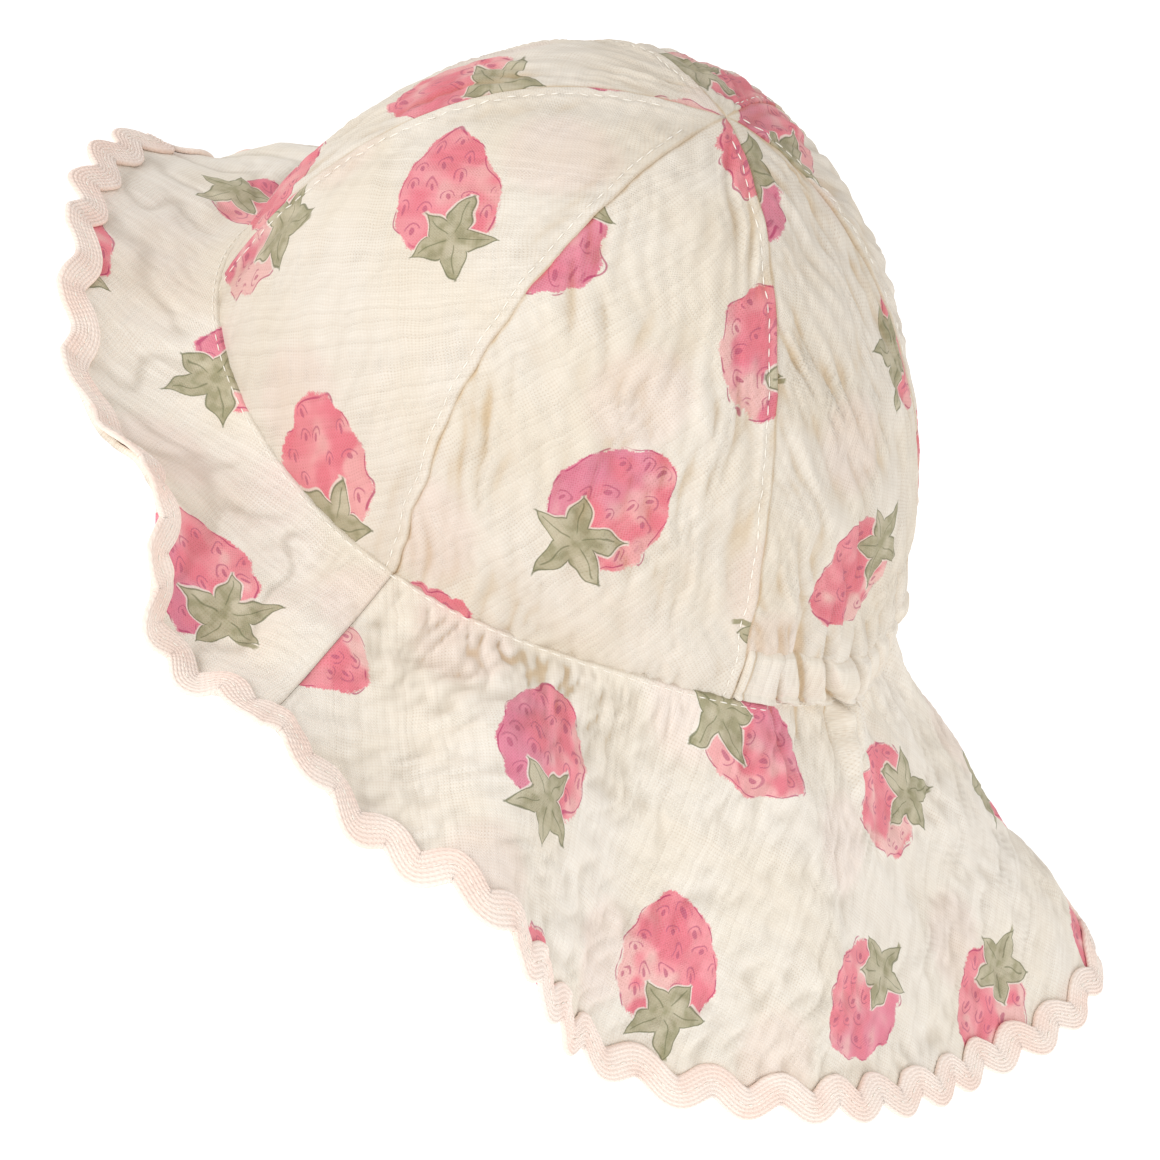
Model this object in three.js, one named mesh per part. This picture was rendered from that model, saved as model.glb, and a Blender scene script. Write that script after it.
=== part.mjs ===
// A baby's sun hat: a crown of six gores, a short front brim, a long flap over the neck, a gathered
// elastic casing across the back, and rickrack braid sewn round the brim's edge.
// Millimetres, +Z up. The origin is the middle of the head opening. The face looks along -Y, the
// wearer's left is +X, and angles run from the centre front round by the left side.

import * as THREE from "three";

// Head opening, measured from its middle to the crown's foot
const OPENING = { front: 85, side: 71, back: 80 };
// The opening's edge isn't level: it is lifted at the front and dips at the nape
const EDGE_WAVE = { once: 14.5, twice: -4, thrice: 4 };

// Crown
const CROWN_HEIGHT = 95;
const CROWN_WALL = 1.6;
const GORE_PUFF = 1.2;
const SEAM_SWING = 6;
const TIP_HOLE = 0.4;

// The gores, each from the angle of its first seam to that of its second one
const GORES = {
  crown_gore_front_left: { from: 0, to: 60 },
  crown_gore_side_left: { from: 60, to: 123 },
  crown_gore_back_left: { from: 123, to: 180 },
  crown_gore_back_right: { from: 180, to: 237 },
  crown_gore_side_right: { from: 237, to: 300 },
  crown_gore_front_right: { from: 300, to: 360 },
};

// How round the crown is: the power on the cosine (plan) and on the sine (height)
const ROUNDNESS = {
  plan: { mean: 0.96, frontToBack: -0.24, sides: 0.06 },
  height: { mean: 1.28, frontToBack: 0.04, sides: -0.04 },
};

// Elastic casing
const CASING = { from: 123, to: 237, height: 13.5, wall: 2, clear: 3, blend: 8, gathers: 16, puff: 1.7 };

// Brim and flap
const BRIM_WALL = 2;
const BRIM_TUCK = 1.2;
const SIDE_SEAM = 60;
// Each part of the brim: the seams that it runs between, and how finely it is divided
const BRIM_PARTS = {
  brim_front: { from: -SIDE_SEAM, to: SIDE_SEAM, around: 30, out: 8 },
  neck_flap: { from: SIDE_SEAM, to: 360 - SIDE_SEAM, around: 60, out: 9 },
};

// One row for each section of the brim: its angle, its length from the crown to the edge, and how
// far it slopes down where it leaves the crown and at its edge, in degrees
const BRIM_SECTIONS = [
  { angle: -160, length: 98, start: 60, end: 48 },
  { angle: -120, length: 85, start: 44, end: 57 },
  { angle: -90, length: 72, start: 16, end: 29 },
  { angle: -60, length: 56, start: 27, end: 32 },
  { angle: -40, length: 47, start: 32, end: 23 },
  { angle: -20, length: 40, start: 23, end: -2 },
  { angle: 0, length: 36, start: 16, end: -31 },
  { angle: 12, length: 37, start: 19, end: -31 },
  { angle: 24, length: 40, start: 28, end: -34 },
  { angle: 36, length: 42, start: 26, end: -45 },
  { angle: 48, length: 55, start: 21, end: 0 },
  { angle: 60, length: 58, start: 9, end: -2 },
  { angle: 75, length: 64, start: 14, end: 15 },
  { angle: 90, length: 71, start: 8, end: 22 },
  { angle: 105, length: 80, start: 37, end: 58 },
  { angle: 120, length: 86, start: 43, end: 59 },
  { angle: 140, length: 90, start: 47, end: 53 },
  { angle: 160, length: 98, start: 58, end: 42 },
  { angle: 180, length: 112, start: 47, end: 40 },
];

// One row for each soft fold that runs out over the brim: its angle, half its width in degrees, how
// high it stands, and the parts of the brim's length between which it runs
const BRIM_FOLDS = [
  { angle: -148, width: 10, height: 3, from: 0, to: 1 },
  { angle: -104, width: 9, height: 2.5, from: 0, to: 0.9 },
  { angle: -72, width: 8, height: 2, from: 0, to: 0.8 },
  { angle: 68, width: 7, height: -2, from: 0, to: 0.7 },
  { angle: 82, width: 8, height: 2, from: 0, to: 0.9 },
  { angle: 112, width: 8, height: -1.5, from: 0, to: 0.9 },
  { angle: 131, width: 6, height: 2, from: 0, to: 0.6 },
  { angle: 144, width: 5, height: -2, from: 0, to: 0.5 },
  { angle: 166, width: 8, height: 2, from: 0, to: 0.8 },
  { angle: -168, width: 7, height: -2, from: 0, to: 0.7 },
];

// Rickrack braid: it lies a little above the brim, its middle runs inside the brim's edge by the
// inset and swings to both sides of that, in waves of a few steps each
const RICKRACK = { width: 7.5, thickness: 1.4, lift: 0.5, swing: 2.1, inset: 4.4, waves: 52, steps: 6 };

const GAP = 0.3;

// How finely the gores and the casing are divided
const GORE_GRID = { around: 10, up: 14 };
const CASING_GRID = { perGather: 6, up: 3 };

const radians = THREE.MathUtils.degToRad;

function smoothstep(from, to, value) {
  return THREE.MathUtils.smoothstep(value, from, to);
}

function wrapAngle(angle) {
  return THREE.MathUtils.euclideanModulo(angle + 180, 360) - 180;
}

// Height of the opening's edge at an angle
function edgeHeight(angle) {
  const a = radians(angle);
  return (
    EDGE_WAVE.once * Math.cos(a) + EDGE_WAVE.twice * Math.cos(2 * a) + EDGE_WAVE.thrice * Math.cos(3 * a)
  );
}

// A quantity that varies round the hat: the same on both sides
function roundTheHat(table, angle) {
  const a = radians(angle);
  return table.mean + table.frontToBack * Math.cos(a) + table.sides * Math.cos(2 * a);
}

// The crown's plain outer surface: rise runs from 0 at the opening to 1 at the tip
function crownSurface(angle, rise) {
  const a = radians(angle);
  const towardsFront = (1 + Math.cos(a)) / 2;
  const reach = OPENING.front * towardsFront + OPENING.back * (1 - towardsFront);
  const radius = 1 / Math.hypot(Math.sin(a) / OPENING.side, Math.cos(a) / reach);
  const turn = (rise * Math.PI) / 2;
  const across = radius * Math.max(Math.cos(turn), 0) ** roundTheHat(ROUNDNESS.plan, angle);
  const height = CROWN_HEIGHT * Math.sin(turn) ** roundTheHat(ROUNDNESS.height, angle);
  return new THREE.Vector3(
    across * Math.sin(a),
    -across * Math.cos(a),
    height + edgeHeight(angle) * (1 - rise) ** 2,
  );
}

// The outward normal of the crown's plain surface
function crownNormal(angle, rise) {
  const step = 0.01;
  const low = Math.min(Math.max(rise, step), 1 - 2 * step);
  const around = crownSurface(angle + 1, low).sub(crownSurface(angle - 1, low));
  const up = crownSurface(angle, low + step).sub(crownSurface(angle, low - step));
  return around.cross(up).normalize();
}

// How much the elastic casing holds the crown in, from 0 to 1, at an angle and a height over the edge
function heldIn(angle, height) {
  const fromNape = Math.abs(THREE.MathUtils.euclideanModulo(angle, 360) - 180);
  const reach = (CASING.to - CASING.from) / 2;
  const sideways = 1 - smoothstep(reach - 0.5, reach + 5, fromNape);
  const above = CASING.height + CASING.clear;
  const upwards = 1 - smoothstep(above, above + CASING.blend, height);
  return sideways * upwards;
}

// The angle of the seam that starts at seamAngle on the opening: it swings a little on its way up
function seamAt(seamAngle, rise) {
  const side = Math.sign(Math.sin(radians(seamAngle)));
  const swing = Math.abs(Math.sin(radians(seamAngle))) > 0.01 ? SEAM_SWING : 0;
  const share = Math.abs(wrapAngle(seamAngle)) < 90 ? 1 : 0.4;
  return seamAngle - side * swing * share * smoothstep(0, 0.5, rise);
}

// A point of one gore: across runs from 0 to 1 between its seams
function gorePoint({ from, to }, across, rise, depth) {
  const left = seamAt(from, rise);
  const right = seamAt(to, rise);
  const angle = THREE.MathUtils.lerp(left, right, across);
  const point = crownSurface(angle, rise);
  const held = heldIn(angle, point.z - edgeHeight(angle));
  const puff = GORE_PUFF * (1 - held) * Math.sin(Math.PI * across) * Math.sin(Math.PI * rise);
  const normal = crownNormal(angle, rise);
  if (rise < 0.02) normal.setZ(0).normalize();
  return point.addScaledVector(normal, puff - held * (CASING.wall + GAP) - depth);
}

// The brim's length and slopes at an angle, read smoothly between the rows of the table
function brimSection(angle) {
  const rows = BRIM_SECTIONS;
  const at = THREE.MathUtils.euclideanModulo(angle - rows[0].angle, 360) + rows[0].angle;
  let index = rows.length - 1;
  while (rows[index].angle > at) index -= 1;
  const row = (offset) => {
    const number = index + offset;
    const turns = Math.floor(number / rows.length);
    const found = rows[number - turns * rows.length];
    return { ...found, angle: found.angle + 360 * turns };
  };
  const [before, here, next, after] = [row(-1), row(0), row(1), row(2)];
  const span = next.angle - here.angle;
  const part = (at - here.angle) / span;
  const read = (column) => {
    const leave = ((next[column] - before[column]) / (next.angle - before.angle)) * span;
    const arrive = ((after[column] - here[column]) / (after.angle - here.angle)) * span;
    const rise = next[column] - here[column];
    const bend = 3 * rise - 2 * leave - arrive;
    const twist = leave + arrive - 2 * rise;
    return here[column] + part * (leave + part * (bend + part * twist));
  };
  return { length: read("length"), start: radians(read("start")), end: radians(read("end")) };
}

// The rise and fall of the soft folds at an angle and a part of the brim's length
function foldHeight(angle, part) {
  let height = 0;
  for (const fold of BRIM_FOLDS) {
    const off = wrapAngle(angle - fold.angle) / fold.width;
    const begun = smoothstep(fold.from, fold.from + 0.25, part);
    const ended = smoothstep(fold.to, fold.to + 0.3, part);
    height += fold.height * Math.exp(-off * off) * begun * (1 - ended);
  }
  return height;
}

// How far a curve that starts at a slope and turns evenly runs out and falls, for each unit of length
function meanSlope(start, turn) {
  if (Math.abs(turn) < 1e-4) return [Math.cos(start), Math.sin(start)];
  return [
    (Math.sin(start + turn) - Math.sin(start)) / turn,
    (Math.cos(start) - Math.cos(start + turn)) / turn,
  ];
}

// A point of the brim's top before its folds: distance runs out from the crown, and below 0 the brim
// is tucked level under the crown's wall
function brimPlain(angle, distance) {
  const { length, start, end } = brimSection(angle);
  const part = Math.max(distance, 0) / length;
  const turn = (end - start) * part;
  const [level, fall] = distance <= 0 ? [1, 0] : meanSlope(start, turn);
  const foot = crownSurface(angle, 0);
  const along = crownSurface(angle + 0.5, 0).sub(crownSurface(angle - 0.5, 0));
  const outward = new THREE.Vector3(along.y, -along.x, 0).normalize();
  return foot
    .addScaledVector(outward, level * distance)
    .add(new THREE.Vector3(0, 0, -fall * distance - GAP / 2));
}

function brimPoint(angle, distance) {
  const point = brimPlain(angle, distance);
  point.z += foldHeight(angle, Math.max(distance, 0) / brimSection(angle).length);
  return point;
}

// The upward normal of the brim's top
function brimNormal(angle, distance) {
  const around = brimPoint(angle + 0.5, distance).sub(brimPoint(angle - 0.5, distance));
  const out = brimPoint(angle, distance + 0.5).sub(brimPoint(angle, distance - 0.5));
  return out.cross(around).normalize();
}

// A closed wall between two grids of points. A loop joins its last column to its first, and a pointed
// wall ends in one point on each side.
function wall({ around, out, top, bottom, loop = false, pointed = false }) {
  const columns = loop ? around : around + 1;
  const positions = [];
  const numbers = [[], []];
  [top, bottom].forEach((surface, side) => {
    for (let row = 0; row <= out; row += 1) {
      for (let column = 0; column < columns; column += 1) {
        if (pointed && row === out && column > 0) {
          numbers[side].push(numbers[side][row * columns]);
          continue;
        }
        numbers[side].push(positions.length / 3);
        positions.push(...surface(column / around, row / out).toArray());
      }
    }
  });
  const triangles = [];
  const addTriangle = (a, b, c) => {
    if (a !== b && b !== c && c !== a) triangles.push(a, b, c);
  };
  const addQuad = (a, b, c, d) => {
    addTriangle(a, b, c);
    addTriangle(a, c, d);
  };
  const at = (side, column, row) => numbers[side][row * columns + (column % columns)];
  for (let column = 0; column < around; column += 1) {
    const beside = column + 1;
    for (let row = 0; row < out; row += 1) {
      const above = row + 1;
      addQuad(at(0, column, row), at(0, beside, row), at(0, beside, above), at(0, column, above));
      addQuad(at(1, column, row), at(1, column, above), at(1, beside, above), at(1, beside, row));
    }
    addQuad(at(0, column, 0), at(1, column, 0), at(1, beside, 0), at(0, beside, 0));
    addQuad(at(0, column, out), at(0, beside, out), at(1, beside, out), at(1, column, out));
  }
  if (!loop) {
    for (let row = 0; row < out; row += 1) {
      addQuad(at(0, 0, row), at(0, 0, row + 1), at(1, 0, row + 1), at(1, 0, row));
      addQuad(at(0, around, row), at(1, around, row), at(1, around, row + 1), at(0, around, row + 1));
    }
  }
  return facingOut(positions, triangles);
}

// The geometry of a closed mesh, turned inside out where its volume came out negative
function facingOut(positions, triangles) {
  const corner = (number) => new THREE.Vector3().fromArray(positions, 3 * number);
  let volume = 0;
  for (let first = 0; first < triangles.length; first += 3) {
    const [a, b, c] = [0, 1, 2].map((offset) => corner(triangles[first + offset]));
    volume += a.dot(b.cross(c));
  }
  const indices = volume < 0 ? triangles.slice().reverse() : triangles;
  const geometry = new THREE.BufferGeometry();
  geometry.setAttribute("position", new THREE.Float32BufferAttribute(positions, 3));
  geometry.setIndex(indices);
  geometry.computeVertexNormals();
  return geometry;
}

const cotton = new THREE.MeshStandardMaterial({ color: 0xf6efdf, roughness: 0.95, metalness: 0 });
const casingCotton = new THREE.MeshStandardMaterial({ color: 0xf3ebd8, roughness: 0.95, metalness: 0 });
const braid = new THREE.MeshStandardMaterial({ color: 0xf1dcd2, roughness: 0.9, metalness: 0 });

function piece(name, geometry, material) {
  const mesh = new THREE.Mesh(geometry, material);
  mesh.name = name;
  return mesh;
}

// One gore, from seam to seam and from the opening up to the tip
function gore(name, seams) {
  const surface = (depth) => (across, rise) => {
    const left = gorePoint(seams, 0, rise, 0);
    const width = left.distanceTo(gorePoint(seams, 1, rise, 0));
    const margin = Math.min(GAP / 2 / Math.max(width, GAP), 0.5);
    const inside = margin + across * (1 - 2 * margin);
    if (rise < 1) return gorePoint(seams, inside, rise, depth).add(new THREE.Vector3(0, 0, GAP / 2));
    const middle = radians((seams.from + seams.to) / 2);
    const point = crownSurface((seams.from + seams.to) / 2, 1);
    point.x += TIP_HOLE * Math.sin(middle);
    point.y -= TIP_HOLE * Math.cos(middle);
    point.z += GAP / 2 - depth;
    return point;
  };
  const { around, up } = GORE_GRID;
  const geometry = wall({ around, out: up, top: surface(0), bottom: surface(CROWN_WALL), pointed: true });
  return piece(name, geometry, cotton);
}

// The angles of the columns of facets in one part of the brim, with half a gap left at each end
function columnAngle({ from, to, around }, column) {
  const reach = crownSurface(from, 0).setZ(0).length();
  const margin = THREE.MathUtils.radToDeg(GAP / 2 / reach);
  return THREE.MathUtils.lerp(from + margin, to - margin, column / around);
}

// One part of the brim, between two side seams
function brimPart(name, grid) {
  const { around, out } = grid;
  const surface = (depth) => (across, part) => {
    const angle = columnAngle(grid, across * around);
    const distance = THREE.MathUtils.lerp(-BRIM_TUCK, brimSection(angle).length, part);
    return brimPoint(angle, distance).addScaledVector(brimNormal(angle, distance), -depth);
  };
  const geometry = wall({ around, out, top: surface(0), bottom: surface(BRIM_WALL) });
  return piece(name, geometry, cotton);
}

// The casing: a strip round the back whose outside is gathered into puffs
function casing(name) {
  const around = CASING.gathers * CASING_GRID.perGather;
  const surface = (inner) => (across, part) => {
    const angle = THREE.MathUtils.lerp(CASING.from + 0.6, CASING.to - 0.6, across);
    const rise = riseAt(angle, GAP + part * (CASING.height - GAP));
    const gather = Math.abs(Math.sin(Math.PI * CASING.gathers * across)) ** 0.7;
    const belly = Math.sin(Math.PI * THREE.MathUtils.lerp(0.12, 0.88, part));
    const offset = inner ? GAP - CASING.wall : CASING.puff * gather * belly - 0.5;
    const normal = crownNormal(angle, rise).setZ(0).normalize();
    return crownSurface(angle, rise).addScaledVector(normal, offset);
  };
  const geometry = wall({ around, out: CASING_GRID.up, top: surface(false), bottom: surface(true) });
  return piece(name, geometry, casingCotton);
}

// How far up the crown a height over the opening's edge is reached
function riseAt(angle, height) {
  let low = 0;
  let high = 0.6;
  for (let turn = 0; turn < 30; turn += 1) {
    const middle = (low + high) / 2;
    if (crownSurface(angle, middle).z - edgeHeight(angle) < height) low = middle;
    else high = middle;
  }
  return (low + high) / 2;
}

// The rickrack: a flat braid that swings in and out along the brim's edge, with even waves
function rickrack(name) {
  const around = RICKRACK.waves * RICKRACK.steps;
  const angles = evenAngles(around);
  const surface = (height) => (across, part) => {
    const step = Math.round(across * around) % around;
    const angle = angles[step];
    const phase = (2 * Math.PI * step) / RICKRACK.steps;
    const side = part - 0.5;
    const middle = RICKRACK.inset + RICKRACK.swing * Math.cos(phase);
    const inset = middle + side * RICKRACK.width;
    const normal = brimNormal(angle, brimSection(angle).length - inset);
    return brimFacetPoint(angle, inset).addScaledVector(normal, height);
  };
  const top = surface(RICKRACK.lift + RICKRACK.thickness);
  const geometry = wall({ around, out: 1, top, bottom: surface(RICKRACK.lift), loop: true });
  return piece(name, geometry, braid);
}

// A point on the facets of the brim's top, at a distance inside its edge
function brimFacetPoint(angle, inset) {
  const grid = [BRIM_PARTS.brim_front, BRIM_PARTS.neck_flap].find(
    ({ from, to }) => THREE.MathUtils.euclideanModulo(angle - from, 360) < to - from,
  );
  const turned = grid.from + THREE.MathUtils.euclideanModulo(angle - grid.from, 360);
  const place = (grid.around * (turned - grid.from)) / (grid.to - grid.from);
  const column = Math.min(Math.floor(place), grid.around - 1);
  const [here, next] = [column, column + 1].map((number) => {
    const at = columnAngle(grid, number);
    return brimPoint(at, brimSection(at).length - inset);
  });
  return here.lerp(next, place - column);
}

// Angles that part the brim's edge into steps of equal length
function evenAngles(count) {
  const samples = 720;
  const lengths = [0];
  const edge = (number) => {
    const angle = (360 * number) / samples;
    return brimPoint(angle, brimSection(angle).length - RICKRACK.inset);
  };
  for (let number = 1; number <= samples; number += 1) {
    lengths.push(lengths[number - 1] + edge(number).distanceTo(edge(number - 1)));
  }
  const found = [];
  let number = 0;
  for (let step = 0; step < count; step += 1) {
    const wanted = (lengths[samples] * step) / count;
    while (lengths[number + 1] <= wanted) number += 1;
    const part = (wanted - lengths[number]) / (lengths[number + 1] - lengths[number]);
    found.push((360 * (number + part)) / samples);
  }
  return found;
}

const hat = new THREE.Group();
hat.name = "baby_sun_hat";

Object.entries(GORES).forEach(([name, seams]) => hat.add(gore(name, seams)));
Object.entries(BRIM_PARTS).forEach(([name, grid]) => hat.add(brimPart(name, grid)));
hat.add(casing("elastic_casing"));
hat.add(rickrack("rickrack_trim"));

export default hat;
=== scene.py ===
# A baby's sun hat in printed cotton double gauze: a crown of six gores, a short front brim, a long flap
# over the neck, an elastic casing across the back and rickrack braid round the edge.
# Surfaces are worked out in millimetres and degrees, and made into meshes in metres. The face looks
# along -Y, the wearer's left is +X, and angles run from the centre front round by the left side.

import math

import bpy
import bmesh
import numpy as np
from mathutils import Matrix, Vector


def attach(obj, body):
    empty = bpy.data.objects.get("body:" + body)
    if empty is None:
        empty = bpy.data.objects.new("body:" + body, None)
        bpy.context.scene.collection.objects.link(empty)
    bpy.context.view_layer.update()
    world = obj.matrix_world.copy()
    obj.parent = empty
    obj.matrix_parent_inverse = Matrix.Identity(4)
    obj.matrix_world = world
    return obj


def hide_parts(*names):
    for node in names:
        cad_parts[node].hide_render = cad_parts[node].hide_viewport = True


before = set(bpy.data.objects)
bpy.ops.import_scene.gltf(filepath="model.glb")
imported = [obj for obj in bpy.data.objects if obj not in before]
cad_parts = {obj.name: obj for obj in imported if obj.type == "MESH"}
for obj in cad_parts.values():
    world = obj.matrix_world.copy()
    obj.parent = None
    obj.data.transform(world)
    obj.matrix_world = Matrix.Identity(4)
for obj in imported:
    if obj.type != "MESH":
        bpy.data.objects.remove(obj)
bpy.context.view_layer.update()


# Crown
# Six gores of cotton double gauze, cut to a point at the top and sewn together, then topstitched beside
# each seam. The gauze is washed, so that it is puckered all over, and its print is cut at the seams.
MM = 0.001
OPENING = {"front": 85, "side": 71, "back": 80}
EDGE_WAVE = {"once": 14.5, "twice": -4, "thrice": 4}
CROWN_HEIGHT = 95
PLAN_POWER = {"mean": 0.96, "front_to_back": -0.24, "sides": 0.06}
HEIGHT_POWER = {"mean": 1.28, "front_to_back": 0.04, "sides": -0.04}
GORE_WALL = 1.0
GORE_PUFF = -0.2
GORE_FOOT = 3
GORE_GRID = {"around": 92, "up": 156}
SEAM_SWING = 6
SEAM_WANDER = 0.6
SEAM_TUCK = 0.9
# Beside a seam the cloth lies on turned allowances, whose edge shows, and is stitched down
SEAM = {"allowance": (4.6, 3.2), "raised": 0.3, "dip": 6, "stitches": 2.4, "stitched_down": 0.3,
        "rolled": 0.35}
# The puckers of the washed gauze, by their size in the flat cloth and their height: fine ridges, pillows
# between valleys, larger swells and dents, patches that are more puckered, and tugs beside the seams
RIDGES = {"wide": 2.3, "long": 13, "high": 1.25}
PILLOWS = {"wide": 5.5, "long": 12, "high": 0.6}
SWELLS = {"wide": 11, "long": 26, "high": 0.6}
DENTS = {"wide": 36, "long": 44, "high": 1.0}
PATCHES = {"wide": 27, "long": 33}
TUGS = {"wide": 4.2, "long": 10, "high": 0.6}
# The elastic casing lies over the crown's foot, between two angles. Its length and the plain panel at each
# end, the length of cloth in a gather, its thickness and how far the elastic draws it in are in mm.
CASING = {"from": 123, "to": 237, "height": 13.5, "length": 155, "panel": 12, "gather": 8.5, "wall": 3,
          "drawn_in": 3}
# The gathers run on into the crown, up to an uneven line, and into the flap
GATHERS = {"high": 3.2, "reach": 24, "uneven": 16}

# One row for each gore: the angles of its seams, whether its edge lies on top at each of them, where the
# print lies on it, moved by so many millimetres and turned by so many degrees, and how puckered it is
GORES = [
    {"side": "front_left", "from": 0, "to": 60, "on_top": (True, True), "move": (14, 8), "turn": 42,
     "puckered": 0.35},
    {"side": "side_left", "from": 60, "to": 123, "on_top": (False, True), "move": (97, 31), "turn": 38,
     "puckered": 1.0},
    {"side": "back_left", "from": 123, "to": 180, "on_top": (False, False), "move": (203, 77), "turn": 28,
     "puckered": 1.1},
    {"side": "back_right", "from": 180, "to": 237, "on_top": (True, False), "move": (310, 12), "turn": -14,
     "puckered": 1.0},
    {"side": "side_right", "from": 237, "to": 300, "on_top": (True, False), "move": (418, 51), "turn": 9,
     "puckered": 1.0},
    {"side": "front_right", "from": 300, "to": 360, "on_top": (True, False), "move": (533, 5), "turn": -5,
     "puckered": 0.8},
]


def ramp(start, stop, value):
    """From 0 at start to 1 at stop, with soft ends."""
    part = np.clip((value - start) / (stop - start), 0, 1)
    return part * part * (3 - 2 * part)


def bump(middle, width, value):
    return np.exp(-(((value - middle) / width) ** 2))


def unit(vectors):
    return vectors / np.linalg.norm(vectors, axis=-1, keepdims=True)


def steps_of(points):
    """The distance from each point of a line to the next."""
    return np.linalg.norm(np.diff(points, axis=0), axis=-1)


def added_up(steps):
    return np.concatenate([[0], np.cumsum(steps)])


def half_turn(angle):
    """An angle round the hat as one from -180 to 180, with the wearer's left above 0."""
    return np.mod(angle + 180, 360) - 180


def edge_height(angle):
    """Height of the head opening's edge."""
    a = np.radians(angle)
    waves = EDGE_WAVE
    return waves["once"] * np.cos(a) + waves["twice"] * np.cos(2 * a) + waves["thrice"] * np.cos(3 * a)


def round_the_hat(table, angle):
    a = np.radians(angle)
    return table["mean"] + table["front_to_back"] * np.cos(a) + table["sides"] * np.cos(2 * a)


def crown_surface(angle, rise):
    """The crown's plain outside: rise runs from 0 at the opening to 1 at the tip."""
    angle, rise = np.broadcast_arrays(np.asarray(angle, float), np.asarray(rise, float))
    a = np.radians(angle)
    towards_front = (1 + np.cos(a)) / 2
    reach = OPENING["front"] * towards_front + OPENING["back"] * (1 - towards_front)
    radius = 1 / np.hypot(np.sin(a) / OPENING["side"], np.cos(a) / reach)
    turn = np.clip(rise, 0, 1) * np.pi / 2
    across = radius * np.clip(np.cos(turn), 0, 1) ** round_the_hat(PLAN_POWER, angle)
    height = CROWN_HEIGHT * np.sin(turn) ** round_the_hat(HEIGHT_POWER, angle)
    height = height + edge_height(angle) * (1 - np.clip(rise, 0, 1)) ** 2
    return np.stack([across * np.sin(a), -across * np.cos(a), height], -1)


def crown_normal(angle, rise):
    step = 0.01
    low = np.clip(rise, step, 1 - 2 * step)
    around = crown_surface(angle + 1, low) - crown_surface(angle - 1, low)
    up = crown_surface(angle, low + step) - crown_surface(angle, low - step)
    normal = unit(np.cross(around, up))
    level = ramp(0.04, 0.005, rise)[..., None]
    flat = normal * [1, 1, 0]
    return unit(normal * (1 - level) + unit(flat) * level)


def held_in(angle, height):
    """How much the crown's foot is held in behind the casing, from 0 to 1, at a height over the opening."""
    from_nape = np.abs(np.mod(angle, 360) - 180)
    reach = (CASING["to"] - CASING["from"]) / 2
    under_casing = ramp(CASING["height"] - 0.5, CASING["height"] - 1.7, height)
    return ramp(reach - 0.3, reach - 1.6, from_nape) * under_casing


def rise_at(angle, height):
    """How far up the crown a height over the opening's edge is reached."""
    low, high = 0 * height, 0 * height + 0.6
    for _ in range(30):
        middle = (low + high) / 2
        below = crown_surface(angle, middle)[..., 2] - edge_height(angle) < height
        low, high = np.where(below, middle, low), np.where(below, high, middle)
    return (low + high) / 2


def seam_at(seam_angle, rise):
    """The angle of a crown seam, which swings a little on its way up."""
    sine = math.sin(math.radians(seam_angle))
    if abs(sine) < 0.01:
        return seam_angle + 0 * rise
    share = 1 if math.cos(math.radians(seam_angle)) > 0 else 0.4
    wander = SEAM_WANDER * grid_noise(rise * 15, seam_angle, 3) * ramp(0, 0.05, rise)
    return seam_angle - math.copysign(SEAM_SWING * share, sine) * ramp(0, 0.5, rise) + wander


def grid_noise(across, along, seed):
    """Smooth random values from about -1 to 1, with one hill or dip for each step of across and along."""
    across, along = np.broadcast_arrays(np.asarray(across, float), np.asarray(along, float))
    column, row = np.floor(across), np.floor(along)
    x, y = across - column, along - row

    def slope(right, up):
        mixed = np.sin((column + right) * 127.1 + (row + up) * 311.7 + seed * 74.7) * 43758.5453
        turn = 2 * np.pi * (mixed - np.floor(mixed))
        return (x - right) * np.cos(turn) + (y - up) * np.sin(turn)

    blend_x = x * x * x * (x * (x * 6 - 15) + 10)
    blend_y = y * y * y * (y * (y * 6 - 15) + 10)
    low = slope(0, 0) * (1 - blend_x) + slope(1, 0) * blend_x
    high = slope(0, 1) * (1 - blend_x) + slope(1, 1) * blend_x
    return 1.5 * (low * (1 - blend_y) + high * blend_y)


def line_noise(along, seed):
    """Smooth random values from about -1 to 1 along a line."""
    return grid_noise(along, 0.5 + 0 * along, seed)


def puckers(across, along, seed):
    """The relief of washed double gauze at a place in the flat cloth, in mm: soft pillows, longer than they
    are wide, between narrow valleys. The second value says how far down in a valley the place lies."""
    across = across + 0.22 * along + 4.0 * grid_noise(across / 19, along / 23, seed)

    def kind(sizes, number):
        return grid_noise(across / sizes["wide"], along / sizes["long"], seed + number)

    ridges = kind(RIDGES, 1)
    pillows = np.abs(kind(PILLOWS, 2))
    patches = 0.5 + 0.5 * ramp(-0.5, 0.45, kind(PATCHES, 3))
    swells = SWELLS["high"] * kind(SWELLS, 4)
    dents = DENTS["high"] * kind(DENTS, 5)
    small = RIDGES["high"] * ridges + PILLOWS["high"] * (pillows**0.9 - 0.38)
    valley = 0.5 * ramp(0.3, -0.8, ridges) + 0.1 * ramp(0.3, 0, pillows)
    return patches * small + swells + dents, patches * valley


def seam_height(distance, on_top):
    """Height of the cloth at a distance from a seam: on top of the seam's allowances, or going under it."""
    if on_top:
        allowances = SEAM["raised"] * ramp(*SEAM["allowance"], distance)
        allowances = allowances - 0.45 * bump(SEAM["dip"], 2.4, distance)
        stitched_down = -SEAM["stitched_down"] * bump(SEAM["stitches"], 0.6, distance)
        return allowances + stitched_down - SEAM["rolled"] * ramp(0.6, 0, distance)
    return -0.3 * ramp(1.5, -0.3, distance) - 0.35 * ramp(0, -SEAM_TUCK, distance)


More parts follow.
